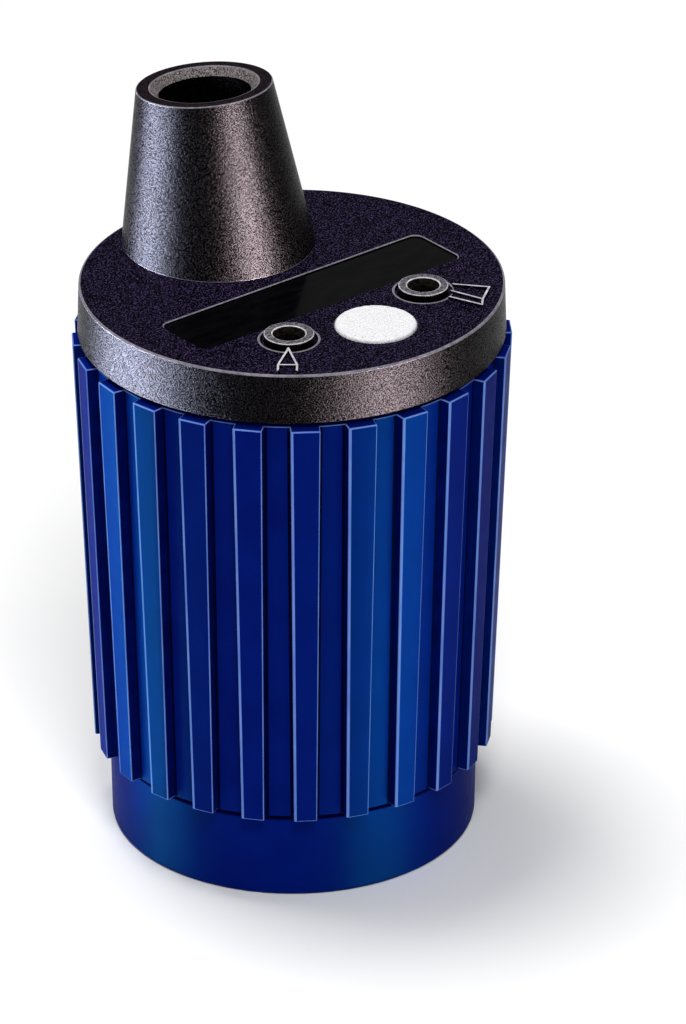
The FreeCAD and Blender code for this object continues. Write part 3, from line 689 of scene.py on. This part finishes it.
def rib_sector(spread, width, height):
    """The outline of one rib and half a groove on each side, at a height of the sleeve."""
    root = ROOT_RADIUS * spread
    rib_angle = math.asin(width / 2 / root)
    corner_angle = rib_angle + CORNER_WIDTH / root
    half_pitch = math.pi / RIB_COUNT
    step = (half_pitch - corner_angle) / (GROOVE_STEPS - 1)
    groove = [rib_angle, *[corner_angle + step * i for i in range(GROOVE_STEPS)]]
    side = [(root * math.cos(angle), root * math.sin(angle)) for angle in groove]
    crest = (ROOT_RADIUS + RIB_HEIGHT) * spread
    across = [width / 2 - width * i / RIB_STEPS for i in range(RIB_STEPS + 1)]
    across[-2] = HIGHLIGHT_STRIP_WIDTH - width / 2
    top = [(crest, y) for y in across]
    outline = [*reversed(side), *top, *[(x, -y) for x, y in side]]
    turn = Matrix.Rotation(math.radians(RIB_PHASE), 3, "Z")
    return [turn @ at(x, y, height) for x, y in outline]


def ribbed_outside():
    """Draws one rib from foot to top, widening with the outline, and repeats it round the axis."""
    draw(rib_sector(1, RIB_WIDTH, BASE_HEIGHT))
    draw(rib_sector(SPREAD, RIB_TOP_WIDTH, SLEEVE_TOP))
    bpy.ops.mesh.select_all(action="SELECT")
    bpy.ops.mesh.bridge_edge_loops()
    bpy.ops.mesh.select_all(action="SELECT")
    spin(RIB_COUNT, copies=True)
    merge_points()


def sleeve_inside():
    """Turns the socket, the ledge, the bore and the neck, in as many steps as the ribbed outline has."""
    inside = [
        (SOCKET_RADIUS, BASE_HEIGHT), (SOCKET_RADIUS, LEDGE_BOTTOM), (LEDGE_RADIUS, LEDGE_BOTTOM),
        (LEDGE_RADIUS, LEDGE_TOP), (BORE_RADIUS, LEDGE_TOP), (BORE_RADIUS, NECK_TOP),
        (NECK_RADIUS, NECK_TOP), (NECK_RADIUS, BEAD_TOP), (BEAD_RADIUS, BEAD_TOP),
        (BEAD_RADIUS, BEAD_BOTTOM), (NECK_RADIUS, BEAD_BOTTOM), (NECK_RADIUS, SLEEVE_TOP),
    ]
    draw([at(radius, 0, height) for radius, height in inside])
    spin(RIB_COUNT * SECTOR_STEPS)
    merge_points()


def open_rim(height):
    """A test for the open edges at one of the sleeve's ends."""
    return lambda edge: edge.is_boundary and at_height(edge, height)


def lug_notch(angle):
    """A cutter for one notch in the ledge, where a lug of the gear ring sits."""
    middle = Matrix.Rotation(angle, 3, "Z") @ at((LEDGE_RADIUS + BORE_RADIUS) / 2, 0, LEDGE_TOP)
    length = BORE_RADIUS - LEDGE_RADIUS + NOTCH_SPARE
    bpy.ops.object.select_all(action="DESELECT")
    bpy.ops.mesh.primitive_cube_add(size=1, location=middle, rotation=(0, 0, angle),
                                    scale=at(length, LUG_WIDTH, 2 * LUG_DEPTH))
    return bpy.context.object


def rib_flank(face):
    """A test for the two upright sides of a rib, which are painted dark as shade."""
    middle = face.calc_center_median()
    outwards = Vector((middle.x, middle.y, 0)).normalized()
    return (middle.xy.length > ROOT_RADIUS * MM and abs(face.normal.z) < UPRIGHT
            and abs(face.normal.dot(outwards)) < SIDEWAYS)


def narrow_strip(face):
    """A test for the narrow upright strips of the grooves and crests."""
    middle = face.calc_center_median()
    widest = NARROW * (SLEEVE_TOP - BASE_HEIGHT) * MM * MM
    return (middle.xy.length > ROOT_RADIUS * MM and middle.z < SLEEVE_TOP * MM
            and abs(face.normal.z) < UPRIGHT and face.calc_area() < widest)


def highlight_strip(face):
    """A test for the narrow strip along the left of a rib's crest, which is painted paler as a highlight.
    """
    half_up = (ROOT_RADIUS + RIB_HEIGHT / 2) * (1 + SPREAD) / 2
    return narrow_strip(face) and face.calc_center_median().xy.length > half_up * MM


def groove_foot(face):
    """A test for the rounded edge at the foot of a groove, between two ribs."""
    middle = face.calc_center_median()
    return (abs(middle.z - BASE_HEIGHT * MM) < BESIDE
            and abs(middle.xy.length - ROOT_RADIUS * MM) < BESIDE)


def outer_corner(edge):
    """A test for the sharp outer corners of the ribs and of the sleeve's two ends."""
    radius = min(vertex.co.xy.length for vertex in edge.verts)
    high = max(vertex.co.z for vertex in edge.verts)
    return (radius > ROOT_RADIUS * MM - BESIDE and high < SLEEVE_TOP * MM + BESIDE
            and edge.is_convex and sharp(edge))


def rounder_corner(edge):
    """A test for the corner down the left of a rib and the one across its top, which are rounder."""
    middle = (edge.verts[0].co + edge.verts[1].co) / 2
    pitch = 360 / RIB_COUNT
    turned = math.degrees(math.atan2(middle.y, middle.x)) - RIB_PHASE
    left_of_rib = turned % pitch > pitch / 2
    crest = (ROOT_RADIUS + RIB_HEIGHT) * SPREAD * MM
    across_top = at_height(edge, SLEEVE_TOP) and middle.xy.length > crest - BESIDE
    return outer_corner(edge) and (rise(edge) > NEAR and left_of_rib or across_top)


def ribbed_sleeve(body, edge, flank_shade, corner):
    """The ribbed body, with the neck that carries the head."""
    piece = begin("ribbed_sleeve_shell", body, edge, flank_shade, corner)
    ribbed_outside()
    sleeve_inside()
    for height in (BASE_HEIGHT, SLEEVE_TOP):
        pick(piece, "EDGE", open_rim(height))
        bpy.ops.mesh.fill(use_beauty=True)
    close_up()
    # the ribs' sides are painted dark as shade
    paint(piece, rib_flank, FLANK_SHADE)
    # the narrow corners of the grooves beside the ribs are painted darker still, as shade
    paint(piece, narrow_strip, CORNER_SHADE)
    # the strip along the left of each crest and the rounded outer corners are painted paler as highlights
    paint(piece, highlight_strip, EDGE)
    round_edges(piece, rounder_corner, RIB_ROUND, segments=3, material=EDGE)
    round_edges(piece, outer_corner, SLEEVE_ROUND, segments=2, material=EDGE)
    # the rounded edge at a groove's foot gets the body's colour back, without the painted highlight
    paint(piece, groove_foot, BODY)
    finish(piece)
    for index in range(LUG_COUNT):
        combine(piece, lug_notch(math.tau * index / LUG_COUNT), "DIFFERENCE")
    smooth(piece)
    return piece


def rounded_plate(size, corner, low, high, y):
    """Adds a flat plate with rounded corners to the piece that is open."""
    bpy.ops.mesh.primitive_cube_add(size=1, location=at(0, y, (low + high) / 2),
                                    scale=at(size[0], size[1], high - low))
    round_edges(bpy.context.object, lambda edge: rise(edge) > NEAR, corner, segments=8)


def level_face(height):
    """A test for a level face at a height."""
    return lambda face: abs(face.normal.z) > LEVEL and abs(face.calc_center_median().z - height * MM) < NEAR


def rim_face(face):
    """A test for the flared faces of a cutter, which leave the rim of a seat painted paler as a highlight.
    """
    return abs(face.normal.z) < LEVEL and abs(face.calc_center_median().z - LID_TOP * MM) < NEAR


def lid_top_face(face):
    """A test for the level faces on the upper side of the lid, with the floors of its seats."""
    return face.normal.z > LEVEL and face.calc_center_median().z > LID_UNDERSIDE * MM


def round_seat(x, y, radius, bottom, *materials):
    """A round cutter whose top flares out."""
    flared = radius + 2 * SEAT_RIM
    profile = [(radius, bottom), (radius, LID_TOP - SEAT_RIM), (flared, LID_TOP + SEAT_RIM),
               (flared, LID_TOP + CUTTER_TOP)]
    tool = lathe("round_seat", profile, *materials, steps=SMALL_ROUND)
    # the flare leaves a rim painted paler as a highlight
    paint(tool, rim_face, EDGE)
    move_all(at(x, y, 0))
    return finish(tool)


def badge_seat(*materials):
    """A cutter for the badge's recess, flared like the round seats."""
    tool = begin("badge_seat", *materials)
    width, depth = (side + 2 * BADGE_GAP for side in BADGE_SIZE)
    rounded_plate((width, depth), BADGE_CORNER, BADGE_BOTTOM, LID_TOP - BADGE_RIM, BADGE_Y)
    pick(tool, "FACE", level_face(LID_TOP - BADGE_RIM))
    extrude(at(0, 0, 2 * BADGE_RIM))
    bpy.ops.transform.resize(value=(1 + 4 * BADGE_RIM / width, 1 + 4 * BADGE_RIM / depth, 1),
                             center_override=at(0, BADGE_Y, LID_TOP + BADGE_RIM))
    extrude(at(0, 0, CUTTER_TOP))
    # the flare leaves a rim round the badge painted paler as a highlight
    paint(tool, rim_face, EDGE)
    return finish(tool)


def recess_bead(x, *materials):
    """The low bead along the edge of a gauge's recess, from below the recess's floor."""
    inner = BEAD_RING_RADIUS - BEAD_RING_WIDTH / 2
    outer = BEAD_RING_RADIUS + BEAD_RING_WIDTH / 2
    low = LID_TOP - GAUGE_RECESS - BEAD_RING_ROOT
    shoulder = LID_TOP + BEAD_RING_HEIGHT / 3
    section = [(inner, low), (inner, shoulder), (BEAD_RING_RADIUS, LID_TOP + BEAD_RING_HEIGHT),
               (outer, shoulder), (outer, low)]
    bead = lathe("recess_bead", [*section, section[0]], *materials, steps=SMALL_ROUND)
    # the bead's upper faces are painted paler as a highlight
    paint(bead, lambda face: face.normal.z > UPRIGHT, EDGE)
    move_all(at(x, GAUGE_Y, 0))
    return finish(bead)


def guide_seat(*materials):
    """A leaning cutter for the guide's neck."""
    tool = begin("guide_seat", *materials)
    bpy.ops.mesh.primitive_cylinder_add(
        vertices=SMALL_ROUND, radius=(GUIDE_NECK_RADIUS + GUIDE_SEAT_GAP) * MM,
        depth=GUIDE_SEAT_LENGTH * MM, location=along_guide(GUIDE_FOOT), rotation=(-GUIDE_TILT, 0, 0))
    return finish(tool)


def screw_boss(x, y, *materials):
    """A boss below the lid with its pilot hole."""
    profile = [(PILOT_RADIUS, PILOT_TOP), (PILOT_RADIUS, BOSS_BOTTOM), (BOSS_RADIUS, BOSS_BOTTOM),
               (BOSS_RADIUS, LID_UNDERSIDE + BOSS_ROOT)]
    boss = lathe("screw_boss", profile, *materials, steps=BOSS_STEPS)
    move_all(at(x, y, 0))
    return finish(boss)


def head_cap(body, edge, top):
    """The turning lid with its seats, and the screw bosses below it."""
    profile = [
        (LID_RADIUS, LID_TOP), (LID_FOOT_RADIUS, LID_BOTTOM), (LIP_RADIUS, LID_BOTTOM),
        (LIP_RADIUS, GROOVE_BOTTOM), (GROOVE_RADIUS, GROOVE_BOTTOM), (GROOVE_RADIUS, GROOVE_TOP),
        (LIP_RADIUS, GROOVE_TOP), (LIP_RADIUS, LID_UNDERSIDE),
    ]
    piece = lathe("head_cap_shell", profile, body, edge, top)
    # the lid's rounded top edge is painted paler as a highlight
    round_edges(piece, circle(LID_RADIUS, LID_TOP), LID_ROUND, segments=3, material=EDGE)
    round_edges(piece, circle(LID_FOOT_RADIUS, LID_BOTTOM), LID_ROUND, segments=3)
    finish(piece)
    for x, y in BOSSES:
        combine(piece, screw_boss(x, y, body, edge), "UNION")
    seats = [(0, PAD_Y, PAD_SEAT, PAD_BOTTOM)]
    for x in (-GAUGE_X, GAUGE_X):
        seats.append((x, GAUGE_Y, GAUGE_RECESS_RADIUS, LID_TOP - GAUGE_RECESS))
        seats.append((x, GAUGE_Y, GAUGE_TUBE, LID_UNDERSIDE - CUTTER_BOTTOM))
    for seat in seats:
        combine(piece, round_seat(*seat, body, edge), "DIFFERENCE")
    for x in (-GAUGE_X, GAUGE_X):
        combine(piece, recess_bead(x, body, edge), "UNION")
    combine(piece, badge_seat(body, edge), "DIFFERENCE")
    combine(piece, guide_seat(body, edge), "DIFFERENCE")
    bpy.ops.object.mode_set(mode="EDIT")
    # the lid's level top faces take the material whose violet tint is a painted reflection
    paint(piece, lid_top_face, TOP)
    return finish(piece)


def from_mouth(point):
    """How far a point lies from the mouth's plane, along the guide."""
    return abs((point - along_guide(GUIDE_LENGTH)).dot(LEAN))


def mouth_lip(face):
    """A test for the flat end of the cone, which becomes the ring round its mouth."""
    return face.normal.dot(LEAN) > LEVEL and from_mouth(face.calc_center_median()) < NEAR


def mouth_bevel(face):
    """A test for the bevel inside the mouth, which is painted pale as a highlight."""
    from_bevel = face.calc_center_median() - along_guide(GUIDE_LENGTH - MOUTH_BEVEL / 2)
    return abs(from_bevel.dot(LEAN)) < NEAR and from_bevel.length < MOUTH_EDGE * MM


def mouth_edge(edge):
    """A test for the outer and inner edges of the ring round the mouth."""
    return sharp(edge) and all(from_mouth(vertex.co) < NEAR for vertex in edge.verts)


def foot_edge(edge):
    """A test for the sharp edge where the cone stands on the lid."""
    return sharp(edge) and edge.is_convex and at_height(edge, LID_TOP)


def nose_end(face):
    """A test for the end faces of nose and bore, the only ones whose middles lie at the end of the nose."""
    return (face.calc_center_median() - along_guide(NOSE_BOTTOM)).length < TUBE_SEAT_RADIUS / 2 * MM


def leaning_cone():
    """Adds the guide's cone, cut off level at the lid."""
    low = GUIDE_FOOT - CONE_SPARE
    bpy.ops.mesh.primitive_cone_add(
        vertices=ROUND, radius1=cone_radius(low) * MM, radius2=MOUTH_RADIUS * MM,
        depth=(GUIDE_LENGTH - low) * MM, location=along_guide((GUIDE_LENGTH + low) / 2),
        rotation=(-GUIDE_TILT, 0, 0))
    bpy.ops.mesh.bisect(plane_co=at(0, 0, LID_TOP), plane_no=(0, 0, 1), use_fill=True, clear_inner=True)


def sink_bore(piece):
    """Sinks the holder's bore, its seat and the lead tube's seat into the cone's mouth."""
    pick(piece, "FACE", mouth_lip)
    bpy.ops.mesh.inset(thickness=(MOUTH_RADIUS - MOUTH_EDGE) * MM)
    extrude_along_guide([
        (GUIDE_LENGTH, MOUTH_EDGE), (GUIDE_LENGTH - MOUTH_BEVEL, HOLDER_RADIUS), (SEAT_TOP, HOLDER_RADIUS),
        (SEAT_BOTTOM, SEAT_RADIUS), (SEAT_BOTTOM, TUBE_SEAT_RADIUS), (NOSE_BOTTOM, TUBE_SEAT_RADIUS),
    ])


def draw_out_nose(piece):
    """Draws the neck and the nose down from the cone's foot, and joins the nose's end to the bore's."""
    pick(piece, "FACE", level_face(LID_TOP))
    bpy.ops.mesh.inset(thickness=(cone_radius(GUIDE_FOOT) - GUIDE_NECK_RADIUS) * MM)
    extrude_along_guide([(GUIDE_FOOT, GUIDE_NECK_RADIUS), (NECK_FOOT, GUIDE_NECK_RADIUS),
                         (NOSE_TOP, NOSE_RADIUS), (NOSE_BOTTOM, NOSE_RADIUS)])
    pick(piece, "FACE", nose_end)
    bpy.ops.mesh.bridge_edge_loops()
    bpy.ops.mesh.select_all(action="SELECT")
    bpy.ops.mesh.normals_make_consistent(inside=False)


def guide_cone(body, edge, lip, painted_bevel):
    """The leaning guide: a cone cut off level at the lid, bored for the holder, with a nose below."""
    piece = begin("guide_cone_shell", body, edge, lip, painted_bevel)
    leaning_cone()
    sink_bore(piece)
    draw_out_nose(piece)
    paint(piece, mouth_lip, LIP)
    # the bevel inside the mouth is painted pale as a highlight
    paint(piece, mouth_bevel, BEVEL_HIGHLIGHT)
    # the rounded edges of the mouth and the foot are painted paler as highlights
    for test in (mouth_edge, foot_edge):
        round_edges(piece, test, GUIDE_ROUND, segments=2, material=EDGE)
    return finish(piece)


def badge_plate(gloss):
    """The bare plate in the lid."""
    piece = begin("badge_plate_bare", gloss)
    rounded_plate(BADGE_SIZE, BADGE_CORNER, BADGE_BOTTOM, BADGE_TOP, BADGE_Y)
    round_edges(piece, lambda edge: sharp(edge) and at_height(edge, BADGE_TOP), BADGE_ROUND, segments=2)
    return finish(piece)


def bore_face(face):
    """A test for the faces inside a gauge, from its floor to its mouth, and for its tube's closed end."""
    return face.calc_center_median().xy.length < GAUGE_MOUTH * MM


def point_gauge(name, x, bottom, dark, ring, ring_edge_highlight, bore):
    """A gauge tube with its collar: a flat grey ring with edges painted pale as highlights, round a mouth
    painted dark as shade; the collar's wall is painted black as shade.
    """
    top = LID_TOP + COLLAR_HEIGHT
    floor = LID_TOP - GAUGE_RECESS
    profile = [(GAUGE_BORE, bottom + GAUGE_FLOOR), (GAUGE_BORE, LID_TOP), (GAUGE_MOUTH, top),
               (COLLAR_RADIUS, top), (COLLAR_RADIUS, floor), (GAUGE_TUBE, floor), (GAUGE_TUBE, bottom)]
    # faces not painted otherwise, the collar's wall among them, keep the polished black, painted there as
    # shade
    piece = lathe(name, profile, dark, ring, ring_edge_highlight, bore, steps=SMALL_ROUND)
    paint(piece, level_face(top), RING)
    # the bore is painted dark as shade
    paint(piece, bore_face, BORE)
    # the collar's two rounded edges are painted pale as highlights
    for radius in (COLLAR_RADIUS, GAUGE_MOUTH):
        round_edges(piece, circle(radius, top), COLLAR_ROUND, segments=2, material=RING_EDGE_HIGHLIGHT)
    move_all(at(x, GAUGE_Y, 0))
    return finish(piece)


def cleaning_pad(felt):
    """The felt disc in its seat: rounded, slightly domed and uneven."""
    piece = begin("cleaning_pad_felt", felt)
    bpy.ops.mesh.primitive_cylinder_add(
        vertices=SMALL_ROUND, radius=PAD_RADIUS * MM, depth=(PAD_TOP - PAD_BOTTOM) * MM,
        location=at(0, PAD_Y, (PAD_TOP + PAD_BOTTOM) / 2))
    round_edges(piece, lambda edge: at_height(edge, PAD_TOP), PAD_ROUND, segments=4)
    pick(piece, "FACE", level_face(PAD_TOP))
    for _ in range(PAD_RINGS):
        bpy.ops.mesh.inset(thickness=PAD_RING_WIDTH * MM, depth=PAD_RING_RISE * MM)
    bpy.ops.mesh.poke()
    bpy.ops.object.mode_set(mode="OBJECT")
    fibres = bpy.data.textures.new("felt_lumps", "CLOUDS")
    fibres.noise_scale = FELT_LUMP * MM
    finer = piece.modifiers.new("finer", "SUBSURF")
    finer.levels = finer.render_levels = 2
    uneven = piece.modifiers.new("uneven", "DISPLACE")
    uneven.texture = fibres
    uneven.strength = FELT_RELIEF * MM
    for step in ("finer", "uneven"):
        bpy.ops.object.modifier_apply(modifier=step)
    bpy.ops.object.shade_smooth()
    return piece


def lay_out_sign(piece, outlines, turn):
    """Draws a sign's two cells flat with a line round each, and lists the faces inside the lines."""
    for outline in outlines:
        draw([turn @ at(along, across, LID_TOP + SIGN_PANEL) for along, across in outline])
        bpy.ops.mesh.edge_face_add()
    merge_points()
    pick(piece, "FACE", lambda face: face.normal.z < 0)
    bpy.ops.mesh.flip_normals()
    bpy.ops.mesh.select_all(action="SELECT")
    bpy.ops.mesh.inset(thickness=SIGN_LINE / 2 * MM)
    bpy.ops.mesh.inset(thickness=SIGN_LINE / 2 * MM, use_individual=True)
    return [face.index for face in bmesh.from_edit_mesh(piece.data).faces if face.select]


def sign_outside(outlines, turn):
    """A test for the upright faces round the outside of a sign, which face away from its middle."""
    drawn = [Vector(point) for outline in outlines for point in outline]
    along, across = sum(drawn, Vector((0, 0))) / len(drawn)
    middle = turn @ at(along, across, LID_TOP)
    return lambda face: (abs(face.normal.z) < UPRIGHT
                         and (face.calc_center_median() - middle).dot(face.normal) > SIGN_INSIDE * MM)


def sign(name, outlines, raised_span, azimuth, line, ground):
    """A raised line drawing on the lid beside its gauge, dark inside, drawn along the gauge's radius; its
    lines are painted pale as highlights and their outer walls dark as shade.
    """
    piece = begin(name, line, ground)
    turn = Matrix.Rotation(azimuth, 3, "Z")
    inside_lines = lay_out_sign(piece, outlines, turn)
    start, end = raised_span

    def raised(face):
        """The faces of the drawn lines, without the drawing's open ends."""
        along = (turn.transposed() @ face.calc_center_median()).x
        return face.index not in inside_lines and start * MM < along < end * MM

    paint(piece, lambda face: not raised(face), GROUND)
    pick(piece, "FACE", raised)
    extrude(at(0, 0, SIGN_HEIGHT - SIGN_PANEL))
    pick(piece, "EDGE", lambda edge: edge.is_boundary)
    bpy.ops.mesh.extrude_edges_move(TRANSFORM_OT_translate={"value": at(0, 0, -SIGN_PANEL - GAUGE_RECESS)})
    close_up()
    # the outer walls of the lines are painted dark as shade
    paint(piece, sign_outside(outlines, turn), GROUND)
    return finish(piece)


# Stage, light and camera

VIEW_AZIMUTH = math.radians(-39.3)
VIEW_ELEVATION = 27.695
VIEW_DISTANCE = 740.6
VIEW_SHIFT = (4.968, 2.69)  # the eye's place right of the tub's middle and above it, square to the view
VIEW_LENS = 263.7
SENSOR_WIDTH = 36.0
TUB_MIDDLE = at(0, 0, 30)
FLOOR_SIZE = 20             # metres
SURROUND_STRENGTH = 0.27

# Light panels: degrees right of the camera and above the floor, metres away, size in metres, watts, colour
WHITE = "#ffffff"
COOL = "#dadfff"
WARM = "#ffe8ee"
CYAN = "#26ceff"
PANELS = {
    "overhead": (-125, 76, 1.60, (0.52, 0.52), 16.2, WHITE),
    "front_fill": (8, 55, 1.20, (0.30, 0.30), 6.5, WHITE),
}

# Strips that light the gloss of one group of pieces, listed as panels are, with the point that they face.
# The lid's end below its top, which they don't light.
# The tub's reach below the floor, which doesn't block them.
LID_STRIP_MIDDLE = at(0, 0, 28)
TUB_STRIP_MIDDLE = at(0, 0, 23)
STRIPS = {
    "cone": [(-90, 18, 0.048, (0.024, 0.075), 0.80, COOL, TUB_MIDDLE),
             (44, 18, 0.048, (0.024, 0.075), 1.45, WARM, TUB_MIDDLE)],
    "lid": [(-75, 0, 0.048, (0.035, 0.058), 0.88, COOL, LID_STRIP_MIDDLE),
            (43, 0, 0.048, (0.027, 0.058), 0.74, WARM, LID_STRIP_MIDDLE)],
    "tub": [(-67, 0, 0.029, (0.013, 0.070), 0.105, CYAN, TUB_STRIP_MIDDLE),
            (39, 0, 0.029, (0.014, 0.070), 0.125, CYAN, TUB_STRIP_MIDDLE)],
}


def direction(side, elevation):
    """The direction from the tub at degrees to the right of the camera and above the floor."""
    angle = VIEW_AZIMUTH - math.pi / 2 + math.radians(side)
    height = math.radians(elevation)
    level = math.cos(height)
    return Vector((level * math.cos(angle), level * math.sin(angle), math.sin(height)))


def camera():
    """The photograph's viewpoint: its angle, distance and lens, for an image of 686 by 1024."""
    back = direction(0, VIEW_ELEVATION)
    turn = (-back).to_track_quat("-Z", "Y")
    eye = TUB_MIDDLE + back * VIEW_DISTANCE * MM + turn @ at(*VIEW_SHIFT, 0)
    bpy.ops.object.camera_add(location=eye, rotation=turn.to_euler())
    view = bpy.context.object
    view.data.lens = VIEW_LENS
    view.data.sensor_width = SENSOR_WIDTH
    view.data.clip_start = 10 * MM
    bpy.context.scene.camera = view


def panel(name, side, elevation, distance, size, power, colour, facing=TUB_MIDDLE):
    """A soft light panel facing a point."""
    towards = direction(side, elevation)
    bpy.ops.object.light_add(type="AREA", location=facing + towards * distance,
                             rotation=towards.to_track_quat("Z", "Y").to_euler())
    lamp = bpy.context.object
    lamp.name = name
    lamp.data.shape = "RECTANGLE"
    lamp.data.size, lamp.data.size_y = size
    lamp.data.energy = power
    lamp.data.color = srgb(colour)[:3]
    lamp.visible_camera = False
    return lamp


def gloss_strips(group, pieces):
    """The strips of one group of pieces, which light their gloss alone."""
    lit = bpy.data.collections.new(f"{group}_gloss")
    for piece in pieces:
        lit.objects.link(piece)
    for index, strip in enumerate(STRIPS[group]):
        lamp = panel(f"{group}_gloss_{index}", *strip)
        lamp.visible_diffuse = False
        lamp.light_linking.receiver_collection = lit
        lamp.light_linking.blocker_collection = lit


def plain_surround():
    """A plain pale world that fills the shadows."""
    world = bpy.data.worlds.new("plain_surround")
    bpy.context.scene.world = world
    world.use_nodes = True
    background = world.node_tree.nodes["Background"]
    background.inputs["Color"].default_value = srgb(WHITE)
    background.inputs["Strength"].default_value = SURROUND_STRENGTH


def studio():
    """A pale floor, a plain surround, a soft light above and a small one in front."""
    bpy.ops.object.select_all(action="DESELECT")
    bpy.ops.mesh.primitive_plane_add(size=FLOOR_SIZE)
    floor = bpy.context.object
    floor.name = "floor"
    floor.data.materials.append(pale_floor())
    plain_surround()
    for name, values in PANELS.items():
        panel(name, *values)


camera()
studio()

BLUE = blue_abs()
BLUE_EDGE_HIGHLIGHT = blue_abs_edge_highlight()
# painted shade on the ribs' sides
BLUE_FLANK_SHADE = blue_abs_painted_shade("blue_abs_painted_flank_shade", "#000a4a", "#000e58")
# painted shade in the grooves' corners beside the ribs
BLUE_CORNER_SHADE = blue_abs_painted_shade("blue_abs_painted_corner_shade", "#000322", "#00062e")
BLACK = black_abs("black_abs_satin", gloss=0.042, relief=0.038)
BLACK_CONE = black_abs("black_abs_satin_cone", gloss=0.052, relief=0.03)
BLACK_EDGE_HIGHLIGHT = black_abs_edge_highlight()
BLACK_TOP = black_abs_top()
BLACK_LIP = black_abs_lip()
BLACK_BEVEL_HIGHLIGHT = black_abs_bevel_highlight()
GLOSS = black_gloss()
GREY_EDGE_HIGHLIGHT = gauge_grey_edge_highlight()
GAUGE_MATERIALS = (GLOSS, gauge_grey(), GREY_EDGE_HIGHLIGHT, gauge_bore())
# the signs' lines take the grey painted as highlights
SIGN_MATERIALS = (GREY_EDGE_HIGHLIGHT, BLACK_TOP)

for material, nodes in (
    (natural_acetal(), ("gear_ring", "cutter_pinion", "idler_gear")),
    (frame_nylon(), ("gear_frame", "lower_bridge")),
    (turned_steel(), ("lead_guide", "frame_screws", "bridge_screws", "cutter", "cutter_axle", "axle_clip",
                      "thrust_washer", "idler_pin", "idler_clip")),
    (sintered_bronze(), ("upper_bush", "lower_bush", "idler_bush")),
):
    for name in nodes:
        frame["nodes"][name].material_slots[0].material = material

SHARP_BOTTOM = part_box("sharp_gauge")[0].z / MM
BLUNT_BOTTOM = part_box("blunt_gauge")[0].z / MM
lit_pieces = {"cone": [], "lid": [], "tub": []}
for piece, body, name, slot_name, lit_group in (
    (dust_cup(BLUE, BLUE_EDGE_HIGHLIGHT), "cup", "dust_cup", "blue_plastic", "tub"),
    (ribbed_sleeve(BLUE, BLUE_EDGE_HIGHLIGHT, BLUE_FLANK_SHADE, BLUE_CORNER_SHADE),
     "sleeve", "ribbed_sleeve", "blue_plastic", "tub"),
    (head_cap(BLACK, BLACK_EDGE_HIGHLIGHT, BLACK_TOP), "head", "head_cap", "black_plastic", "lid"),
    (guide_cone(BLACK_CONE, BLACK_EDGE_HIGHLIGHT, BLACK_LIP, BLACK_BEVEL_HIGHLIGHT),
     "head", "guide_cone", "black_plastic", "cone"),
    (badge_plate(GLOSS), "head", "badge_plate", "badge", "lid"),
    (point_gauge("sharp_gauge_collar", -GAUGE_X, SHARP_BOTTOM, *GAUGE_MATERIALS),
     "head", "sharp_gauge", "gauge_plastic", "lid"),
    (point_gauge("blunt_gauge_collar", GAUGE_X, BLUNT_BOTTOM, *GAUGE_MATERIALS),
     "head", "blunt_gauge", "gauge_plastic", "lid"),
    (cleaning_pad(white_felt()), "head", "cleaning_pad", "felt", "lid"),
):
    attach(piece, body)
    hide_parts(name)
    lit_pieces[lit_group].append(piece)

for piece in (
    sign("sharp_sign", SHARP_SIGN, SHARP_RAISED, math.atan2(GAUGE_Y, -GAUGE_X), *SIGN_MATERIALS),
    sign("blunt_sign", BLUNT_SIGN, BLUNT_RAISED, math.atan2(GAUGE_Y, GAUGE_X), *SIGN_MATERIALS),
):
    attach(piece, "head")
    lit_pieces["lid"].append(piece)

for group, pieces in lit_pieces.items():
    gloss_strips(group, pieces)

bpy.context.scene.view_settings.view_transform = "Standard"
